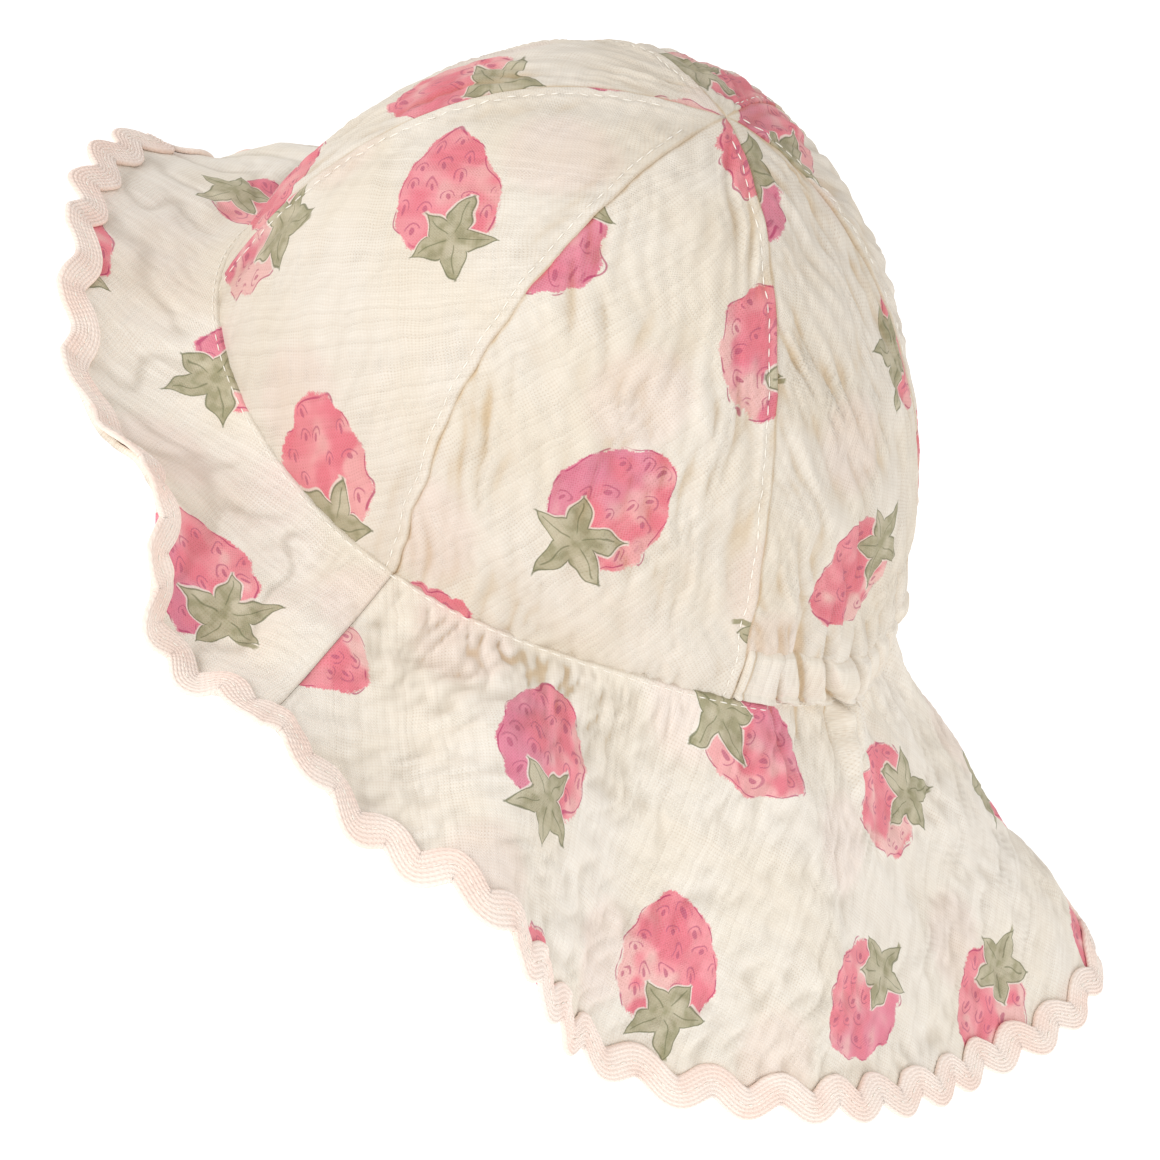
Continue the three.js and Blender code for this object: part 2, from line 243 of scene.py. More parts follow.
def gathered(angle, lean):
    """The puffs that the elastic gathers: from 0 in a groove to about 1 on a puff. Lean, from -1 below the
    casing to 1 above it, moves the grooves aside. The second value is 1 where the cloth is gathered."""
    share = (np.mod(angle, 360) - CASING["from"]) / (CASING["to"] - CASING["from"])
    along = share * CASING["length"]
    place = (along - CASING["panel"]) / CASING["gather"]
    place = place + 0.75 * line_noise(place * 0.6, 51)
    place = place + 0.4 * lean + 0.3 * lean * line_noise(place * 0.55, 52)
    puff = np.abs(np.sin(np.pi * (place + 0.12 * np.sin(2 * np.pi * place)))) ** 0.9
    uneven = 0.9 + 0.6 * line_noise(place * 0.8, 53)
    zone = ramp(CASING["panel"] - 2, CASING["panel"] + 1, np.minimum(along, CASING["length"] - along))
    return puff * uneven * zone, zone


def gore_angle(gore, across, rise):
    left = seam_at(gore["from"], rise)
    right = seam_at(gore["to"], rise)
    return left + (right - left) * across


def measure_gore(gore):
    """A gore's width and the length of its middle line, at some rises, for its flat pattern."""
    rises = np.linspace(0, 1, 161)
    places = np.linspace(0, 1, 25)
    points = crown_surface(gore_angle(gore, places[None, :], rises[:, None]), rises[:, None])
    widths = np.linalg.norm(np.diff(points, axis=1), axis=-1).sum(axis=1)
    return rises, widths, added_up(steps_of(points[:, 12]))


def gore_cloth(gore, across, rise):
    """Points of a gore's outside, its plain normals, the places of the points in its flat pattern, and how
    much painted shade lies on them, most where they lie deep in a crease."""
    across, rise = np.broadcast_arrays(np.asarray(across, float), np.asarray(rise, float))
    rises, widths, lengths = gore["measured"]
    width = np.interp(rise, rises, widths)
    foot = np.minimum(rise, 0) * lengths[-1]
    along = np.interp(rise, rises, lengths) + foot
    angle = gore_angle(gore, across, np.maximum(rise, 0))
    plain = crown_surface(angle, rise)
    normal = crown_normal(angle, rise)
    height_over_edge = plain[..., 2] - edge_height(angle)

    puff = GORE_PUFF * np.sin(np.pi * np.clip(across, 0, 1)) * np.sin(np.pi * np.clip(rise, 0, 1))
    first, second = across * width, (1 - across) * width
    seams = seam_height(first, gore["on_top"][0]) + seam_height(second, gore["on_top"][1])
    near = np.minimum(first, second)
    pattern = np.stack([(across - 0.5) * width, along], -1)
    relief, valley = puckers(pattern[..., 0], pattern[..., 1], gore["seed"])
    relief = relief * gore["puckered"] * (0.3 + 0.7 * ramp(0.5, 7, near))
    tugs = np.abs(grid_noise(along / TUGS["wide"], near / TUGS["long"], gore["seed"] + 6))
    tugs = TUGS["high"] * (tugs**0.8 - 0.4) * ramp(0.3, 2.5, near) * ramp(13, 3, near) * ramp(0, 30, along)
    away_from_tip = ramp(1, 16, width)

    # The elastic's gathers run up from the casing, and the cloth between them hangs a little over it
    puffs, zone = gathered(angle, 1)
    uneven = GATHERS["uneven"] * grid_noise(angle / 6, 0 * angle, 54)
    reach_up = CASING["height"] + GATHERS["reach"] + uneven
    above = ramp(reach_up, CASING["height"] - 1, height_over_edge)
    near_casing = ramp(CASING["height"] + 30, CASING["height"], height_over_edge)
    drawn_in = (0.2 + CASING["drawn_in"]) * zone * near_casing
    gathers = GATHERS["high"] * puffs * above**1.3 - drawn_in
    relief = relief * (1 - 0.7 * zone * ramp(CASING["height"] + 6, CASING["height"] + 1, height_over_edge))
    overhang = 0.9 * bump(CASING["height"] + 1.5, 3, height_over_edge) * held_in(angle, 0) * (1 - zone)
    height = puff + away_from_tip * (seams + relief + tugs) + gathers + overhang
    tucked_in = CASING["wall"] * held_in(angle, height_over_edge)
    height = height - tucked_in - 0.15 * ramp(2.4, 0, along)
    point = plain + normal * height[..., None]
    point[..., 2] += foot

    # Painted shade: a little all over, more in valleys, at seams, beside them here and there, in gathers'
    # grooves
    seam_shade = ramp(0.9, 0.1, np.abs(near))
    gather_groove_shade = zone * ramp(0.5, 0.1, puffs) * above**2
    here_and_there = ramp(-0.2, 0.4, grid_noise(along / 22, near / 30, gore["seed"] + 7))
    shade_beside_seam = 0.2 * bump(5.6, 2.4, near) * here_and_there
    crease_shade = 0.47 + 0.7 * valley * gore["puckered"] + shade_beside_seam + seam_shade * 0.3 + gather_groove_shade
    return point, normal, pattern, np.clip(crease_shade, 0, 1)


def warped_steps(count, crowding):
    """Steps from 0 to 1 that lie closer together near both ends."""
    steps = np.linspace(0, 1, count + 1)
    return steps - crowding * np.sin(2 * np.pi * steps) / (2 * np.pi)


def placed(data):
    """An object of the same name that holds a mesh, curve, lens or lamp, linked into the scene."""
    thing = bpy.data.objects.new(data.name, data)
    bpy.context.scene.collection.objects.link(thing)
    return thing


def smooth_piece(mesh):
    """An object with a closed mesh, whose faces are turned outward and shaded smooth."""
    work = bmesh.new()
    work.from_mesh(mesh)
    bmesh.ops.delete(work, geom=[v for v in work.verts if not v.link_faces], context="VERTS")
    bmesh.ops.recalc_face_normals(work, faces=work.faces)
    work.to_mesh(mesh)
    work.free()
    mesh.polygons.foreach_set("use_smooth", [True] * len(mesh.polygons))
    return placed(mesh)


def squares(grid):
    """The four corners of each square of a grid, in order round it."""
    return np.stack([grid[:-1, :-1], grid[:-1, 1:], grid[1:, 1:], grid[1:, :-1]], 2)


def cloth_wall(name, top, bottom, flat, crease_shade, reverse_shift, pointed=False):
    """A closed wall of cloth between two grids of points in mm, with its flat pattern as a UV map in metres
    and its painted crease shade as an attribute. The lower side takes its print from further on in the cloth."""
    rows, columns = top.shape[:2]
    numbers = np.arange(2 * rows * columns).reshape(2, rows, columns)
    if pointed:
        numbers[:, -1, :] = numbers[:, -1, :1]
    upper, lower = numbers
    rims = [(upper[0], lower[0]), (lower[-1], upper[-1])]
    if pointed:
        rims.pop()
    rims += [(lower[:, 0], upper[:, 0]), (upper[:, -1], lower[:, -1])]
    sides = [np.stack([a[:-1], b[:-1], b[1:], a[1:]], -1) for a, b in rims]
    above, below = squares(upper).reshape(-1, 4), squares(lower).reshape(-1, 4)[:, ::-1]
    faces = [list(dict.fromkeys(f)) for f in np.concatenate([above, *sides]).tolist()]
    below = [list(dict.fromkeys(f)) for f in below.tolist()]

    mesh = bpy.data.meshes.new(name)
    points = np.concatenate([top.reshape(-1, 3), bottom.reshape(-1, 3)]) * MM
    mesh.from_pydata(points.tolist(), [], faces + below)
    corners = np.empty(len(mesh.loops), int)
    mesh.loops.foreach_get("vertex_index", corners)
    places = np.concatenate([flat.reshape(-1, 2)] * 2)[corners]
    first_below = sum(len(f) for f in faces)
    places[first_below:] += reverse_shift
    mesh.uv_layers.new(name="flat_pattern").data.foreach_set("uv", (places * MM).ravel())
    depth = mesh.attributes.new("crease_shade", "FLOAT", "POINT")
    depth.data.foreach_set("value", np.concatenate([crease_shade.ravel()] * 2))
    return smooth_piece(mesh)


def turned(flat, move, turn):
    """Places in the flat pattern, moved and turned to where they were cut from the printed cloth."""
    a = math.radians(turn)
    x, y = flat[..., 0], flat[..., 1]
    return np.stack([x * math.cos(a) - y * math.sin(a), x * math.sin(a) + y * math.cos(a)], -1) + move


def flat_size(flat):
    """Width, length and area of a flat pattern, in metres, from the grid of its places in mm."""
    width, length = (flat.max(axis=(0, 1)) - flat.min(axis=(0, 1))) * MM
    a, b, c, d = np.moveaxis(squares(flat), 2, 0)
    cross = (c - a)[..., 0] * (d - b)[..., 1] - (c - a)[..., 1] * (d - b)[..., 0]
    return (float(width), float(length)), float(np.abs(cross).sum() / 2 * MM * MM)


def feed(tree, socket, value):
    """Gives a node's input a reading, another node's output or a plain value."""
    value = value.socket if isinstance(value, Reading) else value
    if isinstance(value, bpy.types.NodeSocket):
        tree.links.new(value, socket)
    else:
        socket.default_value = value


def add_node(tree, kind, settings, inputs):
    """Adds a node to a material or to geometry nodes, with its settings and what its inputs are given."""
    node = tree.nodes.new(kind)
    for name, value in settings.items():
        setattr(node, name, value)
    for name, value in inputs.items():
        feed(tree, node.inputs[name], value)
    return node


class Reading:
    """A number that a material works out at each point of the cloth. Sums and products add its nodes."""

    def __init__(self, tree, socket):
        self.tree = tree
        self.socket = socket

    def work_out(self, operation, *others):
        values = dict(enumerate((self, *others)))
        node = add_node(self.tree, "ShaderNodeMath", {"operation": operation}, values)
        return Reading(self.tree, node.outputs[0])

    def __add__(self, other):
        return self.work_out("ADD", other)

    def __sub__(self, other):
        return self.work_out("SUBTRACT", other)

    def __mul__(self, other):
        return self.work_out("MULTIPLY", other)

    def __truediv__(self, other):
        return self.work_out("DIVIDE", other)

    __radd__, __rmul__ = __add__, __mul__

    def __rsub__(self, other):
        return self * -1 + other

    def ramp(self, start, stop):
        """From 0 at start to 1 at stop, with soft ends."""
        values = {"Value": self, "From Min": min(start, stop), "From Max": max(start, stop)}
        if start > stop:
            values.update({"To Min": 1, "To Max": 0})
        node = add_node(self.tree, "ShaderNodeMapRange", {"interpolation_type": "SMOOTHSTEP"}, values)
        return Reading(self.tree, node.outputs["Result"])


def vector_of(x, y, z=0.0):
    return add_node(x.tree, "ShaderNodeCombineXYZ", {}, {0: x, 1: y, 2: z}).outputs[0]


def painted_noise(x, y, size, detail=1.0, seed=0.0):
    """Noise from 0 to 1 in the plane of the cloth, whose patches are about size across."""
    place = vector_of(x / size + seed * 7.31, y / size - seed * 3.17)
    values = {"Vector": place, "Scale": 1.0, "Detail": detail}
    node = add_node(x.tree, "ShaderNodeTexNoise", {"noise_dimensions": "2D"}, values)
    return Reading(x.tree, node.outputs["Fac"])


def random_parts(x, y, seed):
    """Three numbers from 0 to 1 that belong to a cell of the print."""
    node = add_node(x.tree, "ShaderNodeTexWhiteNoise", {}, {"Vector": vector_of(x, y, seed)})
    split = add_node(x.tree, "ShaderNodeSeparateColor", {}, {0: node.outputs["Color"]})
    return [Reading(x.tree, output) for output in split.outputs]


def from_middle(x, y):
    return (x * x + y * y).work_out("SQRT")


def tinted(amount, below, above, blend="MIX"):
    """The colour between two colours, or the first one with the other multiplied in."""
    settings = {"data_type": "RGBA", "blend_type": blend}
    return add_node(amount.tree, "ShaderNodeMix", settings, {0: amount, 6: below, 7: above}).outputs[2]


def from_screen(red, green, blue):
    """A colour as a screen shows it, from 0 to 255, as the amounts of light that a material takes."""
    light = [((v / 255 + 0.055) / 1.055) ** 2.4 if v > 10 else v / 3295 for v in (red, green, blue)]
    return (*light, 1.0)


CREAM = from_screen(251, 246, 237)
CREAM_WARM = from_screen(249, 242, 229)
BETWEEN_THREADS = from_screen(206, 184, 158)
# Painted shade for the creases: grey in the shallow ones, warm gold in the deep ones
SHALLOW_CREASE_SHADE = from_screen(226, 223, 219)
DEEP_CREASE_SHADE = from_screen(236, 210, 166)
BERRY_PINK = from_screen(254, 150, 166)
BERRY_DEEP = from_screen(245, 112, 138)
BERRY_PALE = from_screen(254, 208, 204)
BERRY_PLUM = from_screen(226, 120, 166)
INK_PINK = from_screen(192, 52, 112)
LEAF_SAGE = from_screen(192, 187, 158)
LEAF_PALE = from_screen(217, 211, 187)
LEAF_DEEP = from_screen(167, 164, 130)
INK_GREEN = from_screen(114, 119, 84)

# The print: a strawberry in each cell of a half-drop layout, in millimetres
PRINT_CELL = 53
PRINT_SHIFT = 11
BERRY_HALF = (13.4, 15.8)
BERRY_MIDDLE = -5
CALYX_MIDDLE = 6.8
SEPALS = 5
SEPAL_LENGTH = 8.4
SEPAL_HALF = 3.2
SEED_ROWS = 4.7
SEED_PITCH = 5.6
SEED_HALF = (0.5, 0.95)
CUP_HALF = (1.5, 1.8)


def strawberry_print(x, y, cloth, weave):
    """The colour of the printed cloth at x, y in mm, over the colour of the plain cloth."""
    column = (x / PRINT_CELL).work_out("FLOOR")
    dropped = y / PRINT_CELL + column * 0.5
    row = dropped.work_out("FLOOR")
    aside, down, turn = random_parts(column, row, 3.7)
    size, second, third = random_parts(column, row, 8.1)
    cell_x = (x / PRINT_CELL - column - 0.5) * PRINT_CELL - (aside - 0.5) * PRINT_SHIFT
    cell_y = (dropped - row - 0.5) * PRINT_CELL - (down - 0.5) * PRINT_SHIFT
    turn = turn * (2 * math.pi)
    cosine, sine = turn.work_out("COSINE"), turn.work_out("SINE")
    grown = 0.94 + size * 0.12
    wobble_x = (painted_noise(x, y, 5.0, 0.0, 1.3) - 0.5) * 2.4
    wobble_y = (painted_noise(x, y, 5.0, 0.0, 7.9) - 0.5) * 2.4
    px = (cell_x * cosine - cell_y * sine) / grown + wobble_x
    py = (cell_x * sine + cell_y * cosine) / grown + wobble_y

    # The fruit, wider towards the top, with a ragged painted edge
    tall = (py - BERRY_MIDDLE) / BERRY_HALF[1]
    wide = px / ((tall * 0.19 - tall * tall * 0.1 + 0.93) * BERRY_HALF[0])
    fruit = (from_middle(wide, tall) - 1) * BERRY_HALF[0]
    ragged = (painted_noise(x, y, 0.9, 1.0, 2.2) - 0.5) * 1.0
    painted = (fruit + ragged + weave * 0.2).ramp(0.25, -0.25) * (0.93 + weave * 0.07)
    line_place = fruit + (painted_noise(x, y, 6.5, 0.0, 5.5) - 0.42) * 2.6
    line_gaps = painted_noise(x, y, 4.2, 0.0, 9.1).ramp(0.36, 0.5)
    outline = line_place.work_out("ABSOLUTE").ramp(0.28, 0.08) * line_gaps

    # Rows of seeds, each a small drop with a curved line under it
    seed_row = (py / SEED_ROWS).work_out("FLOOR")
    seed_y = (py / SEED_ROWS - seed_row - 0.5) * SEED_ROWS
    seed_shift = px / SEED_PITCH + seed_row * 0.5
    seed_column = seed_shift.work_out("FLOOR")
    seed_x = (seed_shift - seed_column - 0.5) * SEED_PITCH
    seed_one, seed_two, seed_three = random_parts(seed_column + column * 17, seed_row + row * 31, 4.4)
    sx = seed_x + (seed_one - 0.5) * 1.7
    sy = seed_y + (seed_two - 0.5) * 1.4
    drop = from_middle(sx / SEED_HALF[0], sy / SEED_HALF[1])
    cup = from_middle(sx / CUP_HALF[0], sy / CUP_HALF[1])
    cup_line = (cup - 1).work_out("ABSOLUTE").ramp(0.17, 0.05) * sy.ramp(0.4, -0.3)
    in_fruit = fruit.ramp(-0.9, -1.8)
    seed_shown = seed_three.ramp(0.16, 0.18)
    seeds = drop.ramp(1.15, 0.8) * in_fruit * seed_shown
    cups = cup_line * in_fruit * seed_shown

    blush = painted_noise(x, y, 8.0, 1.0, 3.0)
    deep = painted_noise(x, y, 5.5, 1.0, 6.0).ramp(0.48, 0.72)
    pale = (blush + (px / 26) * (second - 0.5) * 2).ramp(0.56, 0.76) * (0.3 + second * 0.6)
    plum = (px / 11 + 0.35 + (blush - 0.5) * 2).ramp(0.1, 1.1) * third.ramp(0.25, 0.8) * 0.6
    berry = tinted(blush.ramp(0.62, 0.34), BERRY_PINK, BERRY_DEEP)
    berry = tinted(deep * 0.45, berry, BERRY_DEEP)
    berry = tinted(plum, berry, BERRY_PLUM)
    berry = tinted(pale, berry, BERRY_PALE)
    berry = tinted(cups * 0.7, berry, INK_PINK)
    berry = tinted(seeds * 0.75, berry, INK_PINK)

    # The calyx: pointed sepals round its middle, each with a line down it, and a short stem
    cx, cy = px, py - CALYX_MIDDLE
    radius = from_middle(cx, cy)
    around = cx.work_out("ARCTAN2", cy) / (2 * math.pi / SEPALS)
    sepal = around.work_out("ROUND")
    sepal_one, sepal_two, _ = random_parts(sepal + column * 7, row * 13 + sepal, 1.9)
    length = SEPAL_LENGTH + sepal_one * 3.8
    bend = (sepal_two - 0.5) * 0.036
    aside_sepal = (around - sepal) * (2 * math.pi / SEPALS) * radius + bend * radius * radius
    share = (radius / length).work_out("MINIMUM", 1.0)
    breadth = (share.work_out("POWER", 0.75) * math.pi).work_out("SINE") * SEPAL_HALF
    leaf = aside_sepal.work_out("ABSOLUTE") - breadth
    leaf_mask = (leaf + weave * 0.15).ramp(0.2, -0.12) * (radius - length).ramp(0.3, -0.2)
    leaf_line = leaf.work_out("ABSOLUTE").ramp(0.32, 0.1) * (radius - length).ramp(0.8, 0.2)
    half_way_out = (share - 0.5).work_out("ABSOLUTE").ramp(0.36, 0.3)
    midrib = aside_sepal.work_out("ABSOLUTE").ramp(0.24, 0.06) * half_way_out
    halo = leaf.ramp(0.95, 0.55) * (radius - length).ramp(0.9, 0.4)
    stem_aside = (px - (cy * 0.28).work_out("SINE") * 1.6).work_out("ABSOLUTE")
    stem = stem_aside.ramp(0.8, 0.45) * cy.ramp(-0.5, 0.5) * cy.ramp(11, 10) * second.ramp(0.45, 0.5)
    veins = painted_noise(x, y, 3.0, 1.0, 4.0)
    green = tinted(veins.ramp(0.4, 0.68), LEAF_SAGE, LEAF_DEEP)
    green = tinted(blush.ramp(0.5, 0.68) * 0.8, green, LEAF_PALE)

    # The layer beneath is printed too, and its fruit shows through as a faint blush
    under_x = (x / PRINT_CELL + 0.35).work_out("FRACT") - 0.5
    under_y = (y / PRINT_CELL * 0.93 + 0.15).work_out("FRACT") - 0.5
    under = (from_middle(under_x, under_y) * PRINT_CELL + ragged * 2).ramp(13, 8)
    colour = tinted(under * (0.07 + weave * 0.03), cloth, BERRY_PINK)
    colour = tinted(painted * 0.95, colour, berry)
    colour = tinted(outline * 0.75, colour, INK_PINK)
    colour = tinted(halo * 0.8, colour, cloth)
    colour = tinted(stem * 0.9, colour, LEAF_DEEP)
    colour = tinted(leaf_mask * 0.95, colour, green)
    colour = tinted(midrib * 0.65, colour, INK_GREEN)
    return tinted(leaf_line * 0.75, colour, INK_GREEN)


def cotton(name):
    """A new material of cotton, and the place of each of its points in the flat cloth, in mm."""
    material = bpy.data.materials.new(name)
    material.use_nodes = True
    tree = material.node_tree
    place = add_node(tree, "ShaderNodeUVMap", {"uv_map": "flat_pattern"}, {})
    split = add_node(tree, "ShaderNodeSeparateXYZ", {}, {0: place.outputs[0]})
    x, y, _ = (Reading(tree, output) * (1 / MM) for output in split.outputs)
    return material, x, y


def surfaced(material, colour, roughness, finish, height=None):
    """Gives a material its colour and roughness, what is the same all over it, and its relief in mm."""
    tree = material.node_tree
    given = {"Base Color": colour, "Roughness": roughness, **finish}
    if height is not None:
        relief = {"Strength": 1.0, "Distance": MM, "Height": height}
        given["Normal"] = add_node(tree, "ShaderNodeBump", {}, relief).outputs[0]
    for name, value in given.items():
        feed(tree, tree.nodes["Principled BSDF"].inputs[name], value)
    return material


WARP_PITCH = 0.64
WEFT_PITCH = 0.74
GAUZE_FINISH = {
    "Sheen Weight": 0.15,
    "Sheen Roughness": 0.6,
    "Sheen Tint": (1.0, 0.97, 0.92, 1.0),
    "Specular IOR Level": 0.2,
}


def gauze(name, printed):
    """Washed cotton double gauze: an open plain weave of soft thread, matt, with a little fuzz."""
    material, x, y = cotton(name)

    # Threads both ways, pulled a little out of line, some thicker than others, with pinholes between them
    drift = (painted_noise(x, y, 7.0, 1.0, 31.0) - 0.5) * 1.5
    across = (x + drift) / WARP_PITCH
    along = (y + drift * 0.8) / WEFT_PITCH
    warp = (across * (2 * math.pi)).work_out("SINE")
    weft = (along * (2 * math.pi)).work_out("SINE")
    weave = warp * weft
    warp_thread, _, _ = random_parts(across.work_out("FLOOR"), along * 0, 2.5)
    weft_thread, _, _ = random_parts(along.work_out("FLOOR"), along * 0, 6.5)
    thread = warp_thread * weave.ramp(-0.3, 0.3) + weft_thread * weave.ramp(0.3, -0.3)
    open_weave = painted_noise(x, y, 12.0, 1.0, 17.0).ramp(0.46, 0.7)
    pinholes = (warp * -1).ramp(0.1, 1) * (weft * -1).ramp(0.1, 1) * (0.25 + open_weave * 0.75)

    # The cream of the cloth, its print, what is darker between the threads, and painted shade down in the
    # creases
    warm = painted_noise(x, y, 26.0, 2.0, 21.0)
    colour = tinted(warm.ramp(0.35, 0.7), CREAM, CREAM_WARM)
    if printed:
        colour = strawberry_print(x, y, colour, weave)
    attribute = add_node(x.tree, "ShaderNodeAttribute", {"attribute_name": "crease_shade"}, {})
    crease_shade = Reading(x.tree, attribute.outputs["Fac"])
    threads_apart = pinholes * 0.3 + (0.5 - (warp + weft) * 0.22) * 0.14 + thread * 0.13
    colour = tinted(threads_apart, colour, BETWEEN_THREADS, "MULTIPLY")
    # Painted shade: darker and warmer where the mesh's crease attribute is high, warmest in the deepest
    # creases
    colour = tinted(crease_shade.ramp(0, 0.75) * 0.9, colour, SHALLOW_CREASE_SHADE, "MULTIPLY")
    colour = tinted(crease_shade.ramp(0.6, 1) * 0.6, colour, DEEP_CREASE_SHADE, "MULTIPLY")

    # Relief: the threads, and the crepe of the washed cloth
    crepe = painted_noise(x, y * 0.6, 1.5, 1.0, 41.0)
    crumple = painted_noise(x, y * 0.45, 2.8, 1.0, 43.0)
    height = weave * 0.04 + thread * 0.05 - pinholes * 0.06 + crepe * 0.13 + crumple * 0.2
    return surfaced(material, colour, 0.84 + weave * 0.05, GAUZE_FINISH, height)


printed_gauze = gauze("printed_gauze", True)

for number, gore in enumerate(GORES):
    gore["measured"] = measure_gore(gore)
    gore["seed"] = 10 * number + 5
    rows = np.linspace(0, 1, GORE_GRID["up"] + 1)
    rise = (rows - GORE_FOOT / gore["measured"][2][-1] * (1 - rows) ** 6)[:, None]
    # The lower rows are level, as the casing is
    angle = gore_angle(gore, np.linspace(0, 1, GORE_GRID["around"] + 1)[None, :], np.maximum(rise, 0))
    middle = (gore["from"] + gore["to"]) / 2
    level = crown_surface(middle, np.clip(rise, 0, 0.4))[..., 2] - edge_height(middle)
    level_rise = rise_at(angle, level + 0 * angle)
    rise = np.where(rise > 0, rise + (level_rise - rise) * ramp(0.35, 0.2, rise), rise)
    width = np.interp(rise, *gore["measured"][:2])
    tucked = [0 if on_top else np.minimum(SEAM_TUCK, 0.1 * width) for on_top in gore["on_top"]]
    narrow = np.maximum(width, 0.01)
    steps = warped_steps(GORE_GRID["around"], 0.7)[None, :]
    across = -tucked[0] / narrow + steps * (1 + (tucked[0] + tucked[1]) / narrow)
    outside, normal, pattern, crease_shade = gore_cloth(gore, across, rise)
    inside = outside - normal * GORE_WALL
    size, area = flat_size(pattern)
    print_place = turned(pattern, gore["move"], gore["turn"])
    name = f"gauze_gore_{gore['side']}"
    piece = cloth_wall(name, outside, inside, print_place, crease_shade, reverse_shift=(37, 61), pointed=True)
    piece.data.materials.append(printed_gauze)
    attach(piece, "root")
    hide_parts(f"crown_gore_{gore['side']}")


# Brim and neck flap
# A short front brim and a long flap over the neck, each of two layers of the same gauze turned at the
# edge, joined at the side seams and sewn to the crown, with a line of topstitching on the brim's side.
BRIM_WALL = 1.5
BRIM_TUCK = 1
SIDE_SEAM = 60
BRIM_SECTIONS = [
    {"angle": -160, "length": 98, "start": 60, "end": 48},
    {"angle": -120, "length": 85, "start": 44, "end": 57},
    {"angle": -90, "length": 72, "start": 16, "end": 29},
    {"angle": -60, "length": 56, "start": 27, "end": 32},
    {"angle": -40, "length": 47, "start": 32, "end": 23},
    {"angle": -20, "length": 40, "start": 23, "end": -2},
    {"angle": 0, "length": 36, "start": 16, "end": -31},
    {"angle": 12, "length": 37, "start": 19, "end": -31},
    {"angle": 24, "length": 40, "start": 28, "end": -34},
    {"angle": 36, "length": 42, "start": 26, "end": -45},
    {"angle": 48, "length": 55, "start": 21, "end": 0},
    {"angle": 60, "length": 58, "start": 9, "end": -2},
    {"angle": 75, "length": 64, "start": 14, "end": 15},
    {"angle": 90, "length": 71, "start": 8, "end": 22},
    {"angle": 105, "length": 80, "start": 37, "end": 58},
    {"angle": 120, "length": 86, "start": 43, "end": 59},
    {"angle": 140, "length": 90, "start": 47, "end": 53},
    {"angle": 160, "length": 98, "start": 58, "end": 42},
    {"angle": 180, "length": 112, "start": 47, "end": 40},
]
# Soft folds that run out over the brim, by angle, half width in degrees, height, and share of its length
BRIM_FOLDS = [
    {"angle": -154, "width": 15, "height": -7, "from": 0, "to": 1},
    {"angle": -104, "width": 9, "height": 2.5, "from": 0, "to": 0.9},
    {"angle": -72, "width": 8, "height": 2, "from": 0, "to": 0.8},
    {"angle": 68, "width": 7, "height": -2, "from": 0, "to": 0.7},
    {"angle": 82, "width": 8, "height": 2, "from": 0, "to": 0.9},
    {"angle": 112, "width": 8, "height": -1.5, "from": 0, "to": 0.9},
    {"angle": 131, "width": 6, "height": 2, "from": 0, "to": 0.6},
    {"angle": 144, "width": 5, "height": -2, "from": 0, "to": 0.5},
    {"angle": 166, "width": 8, "height": 2, "from": 0, "to": 0.8},
    {"angle": 178, "width": 9, "height": 1.5, "from": 0.3, "to": 1},
    {"angle": -42, "width": 20, "height": 6.5, "from": 0.1, "to": 1},
]
# On the far side the brim's edge curls under, from one angle to the next and out again
CURL = {"from": -24, "to": -38, "until": -85, "gone": -100, "length": 16, "turn": 100}
# On the near side the edge has a small corner
CORNER = {"angle": 45, "width": 2.6, "reach": 3}
# Under the nape the flap is drawn in by a depth, which ends at a distance from the crown
NAPE = {"from": 142, "full": 172, "full_to": 214, "to": 236, "depth": 3.5, "reach": 58}
# The cloth ends under the braid, so much short of the edge, and the front is less puckered than the flap
UNDER_BRAID = 3.0
FRONT_PUCKERED = 0.35
BRIM_STITCHES = 1.3
# Small folds by their size and height: short ones beside the crown's seam, soft ones over the front brim,
# and the billows of the whole brim
SHORT_FOLDS = {"wide": 5.4, "long": 17, "high": 1.5}
SOFT_FOLDS = {"wide": 21, "long": 30, "high": 1.6}
BILLOWS = {"wide": 30, "long": 36, "high": 2.4}
# The two parts of the brim: their seams, how finely they are divided, and where the print lies
BRIM_PARTS = [
    {"name": "brim_front", "from": -60, "to": 60, "around": 250, "out": 56, "move": (40, 30), "turn": 25},
    {"name": "neck_flap", "from": 60, "to": 300, "around": 430, "out": 104, "move": (260, 150), "turn": 60},
]


def brim_section(angle):
    """The brim's length and its slopes at the crown and at the edge, read smoothly between the rows."""
    angles = np.array([row["angle"] for row in BRIM_SECTIONS], float)
    values = np.array([(row["length"], row["start"], row["end"]) for row in BRIM_SECTIONS], float)
    count = len(angles)
    at = np.mod(np.asarray(angle, float) - angles[0], 360) + angles[0]
    index = np.searchsorted(angles, at, side="right") - 1

    def row(offset):
        turns, number = np.divmod(index + offset, count)
        return angles[number] + 360 * turns, values[number]

    (a0, v0), (a1, v1), (a2, v2), (a3, v3) = row(-1), row(0), row(1), row(2)
    span = (a2 - a1)[..., None]
    part = ((at - a1) / (a2 - a1))[..., None]
    leave = (v2 - v0) / (a2 - a0)[..., None] * span
    arrive = (v3 - v1) / (a3 - a1)[..., None] * span
    rise = v2 - v1
    read = v1 + part * (leave + part * ((3 * rise - 2 * leave - arrive) + part * (leave + arrive - 2 * rise)))
    corner = CORNER["reach"] * bump(CORNER["angle"], CORNER["width"], at)
    return read[..., 0] + corner, np.radians(read[..., 1]), np.radians(read[..., 2])


def fold_height(angle, part):
    height = 0 * part
    for fold in BRIM_FOLDS:
        off = half_turn(angle - fold["angle"])
        begun = ramp(fold["from"], fold["from"] + 0.25, part)
        ended = ramp(fold["to"], fold["to"] + 0.3, part)
        height = height + fold["height"] * bump(0, fold["width"], off) * begun * (1 - ended)
    return height


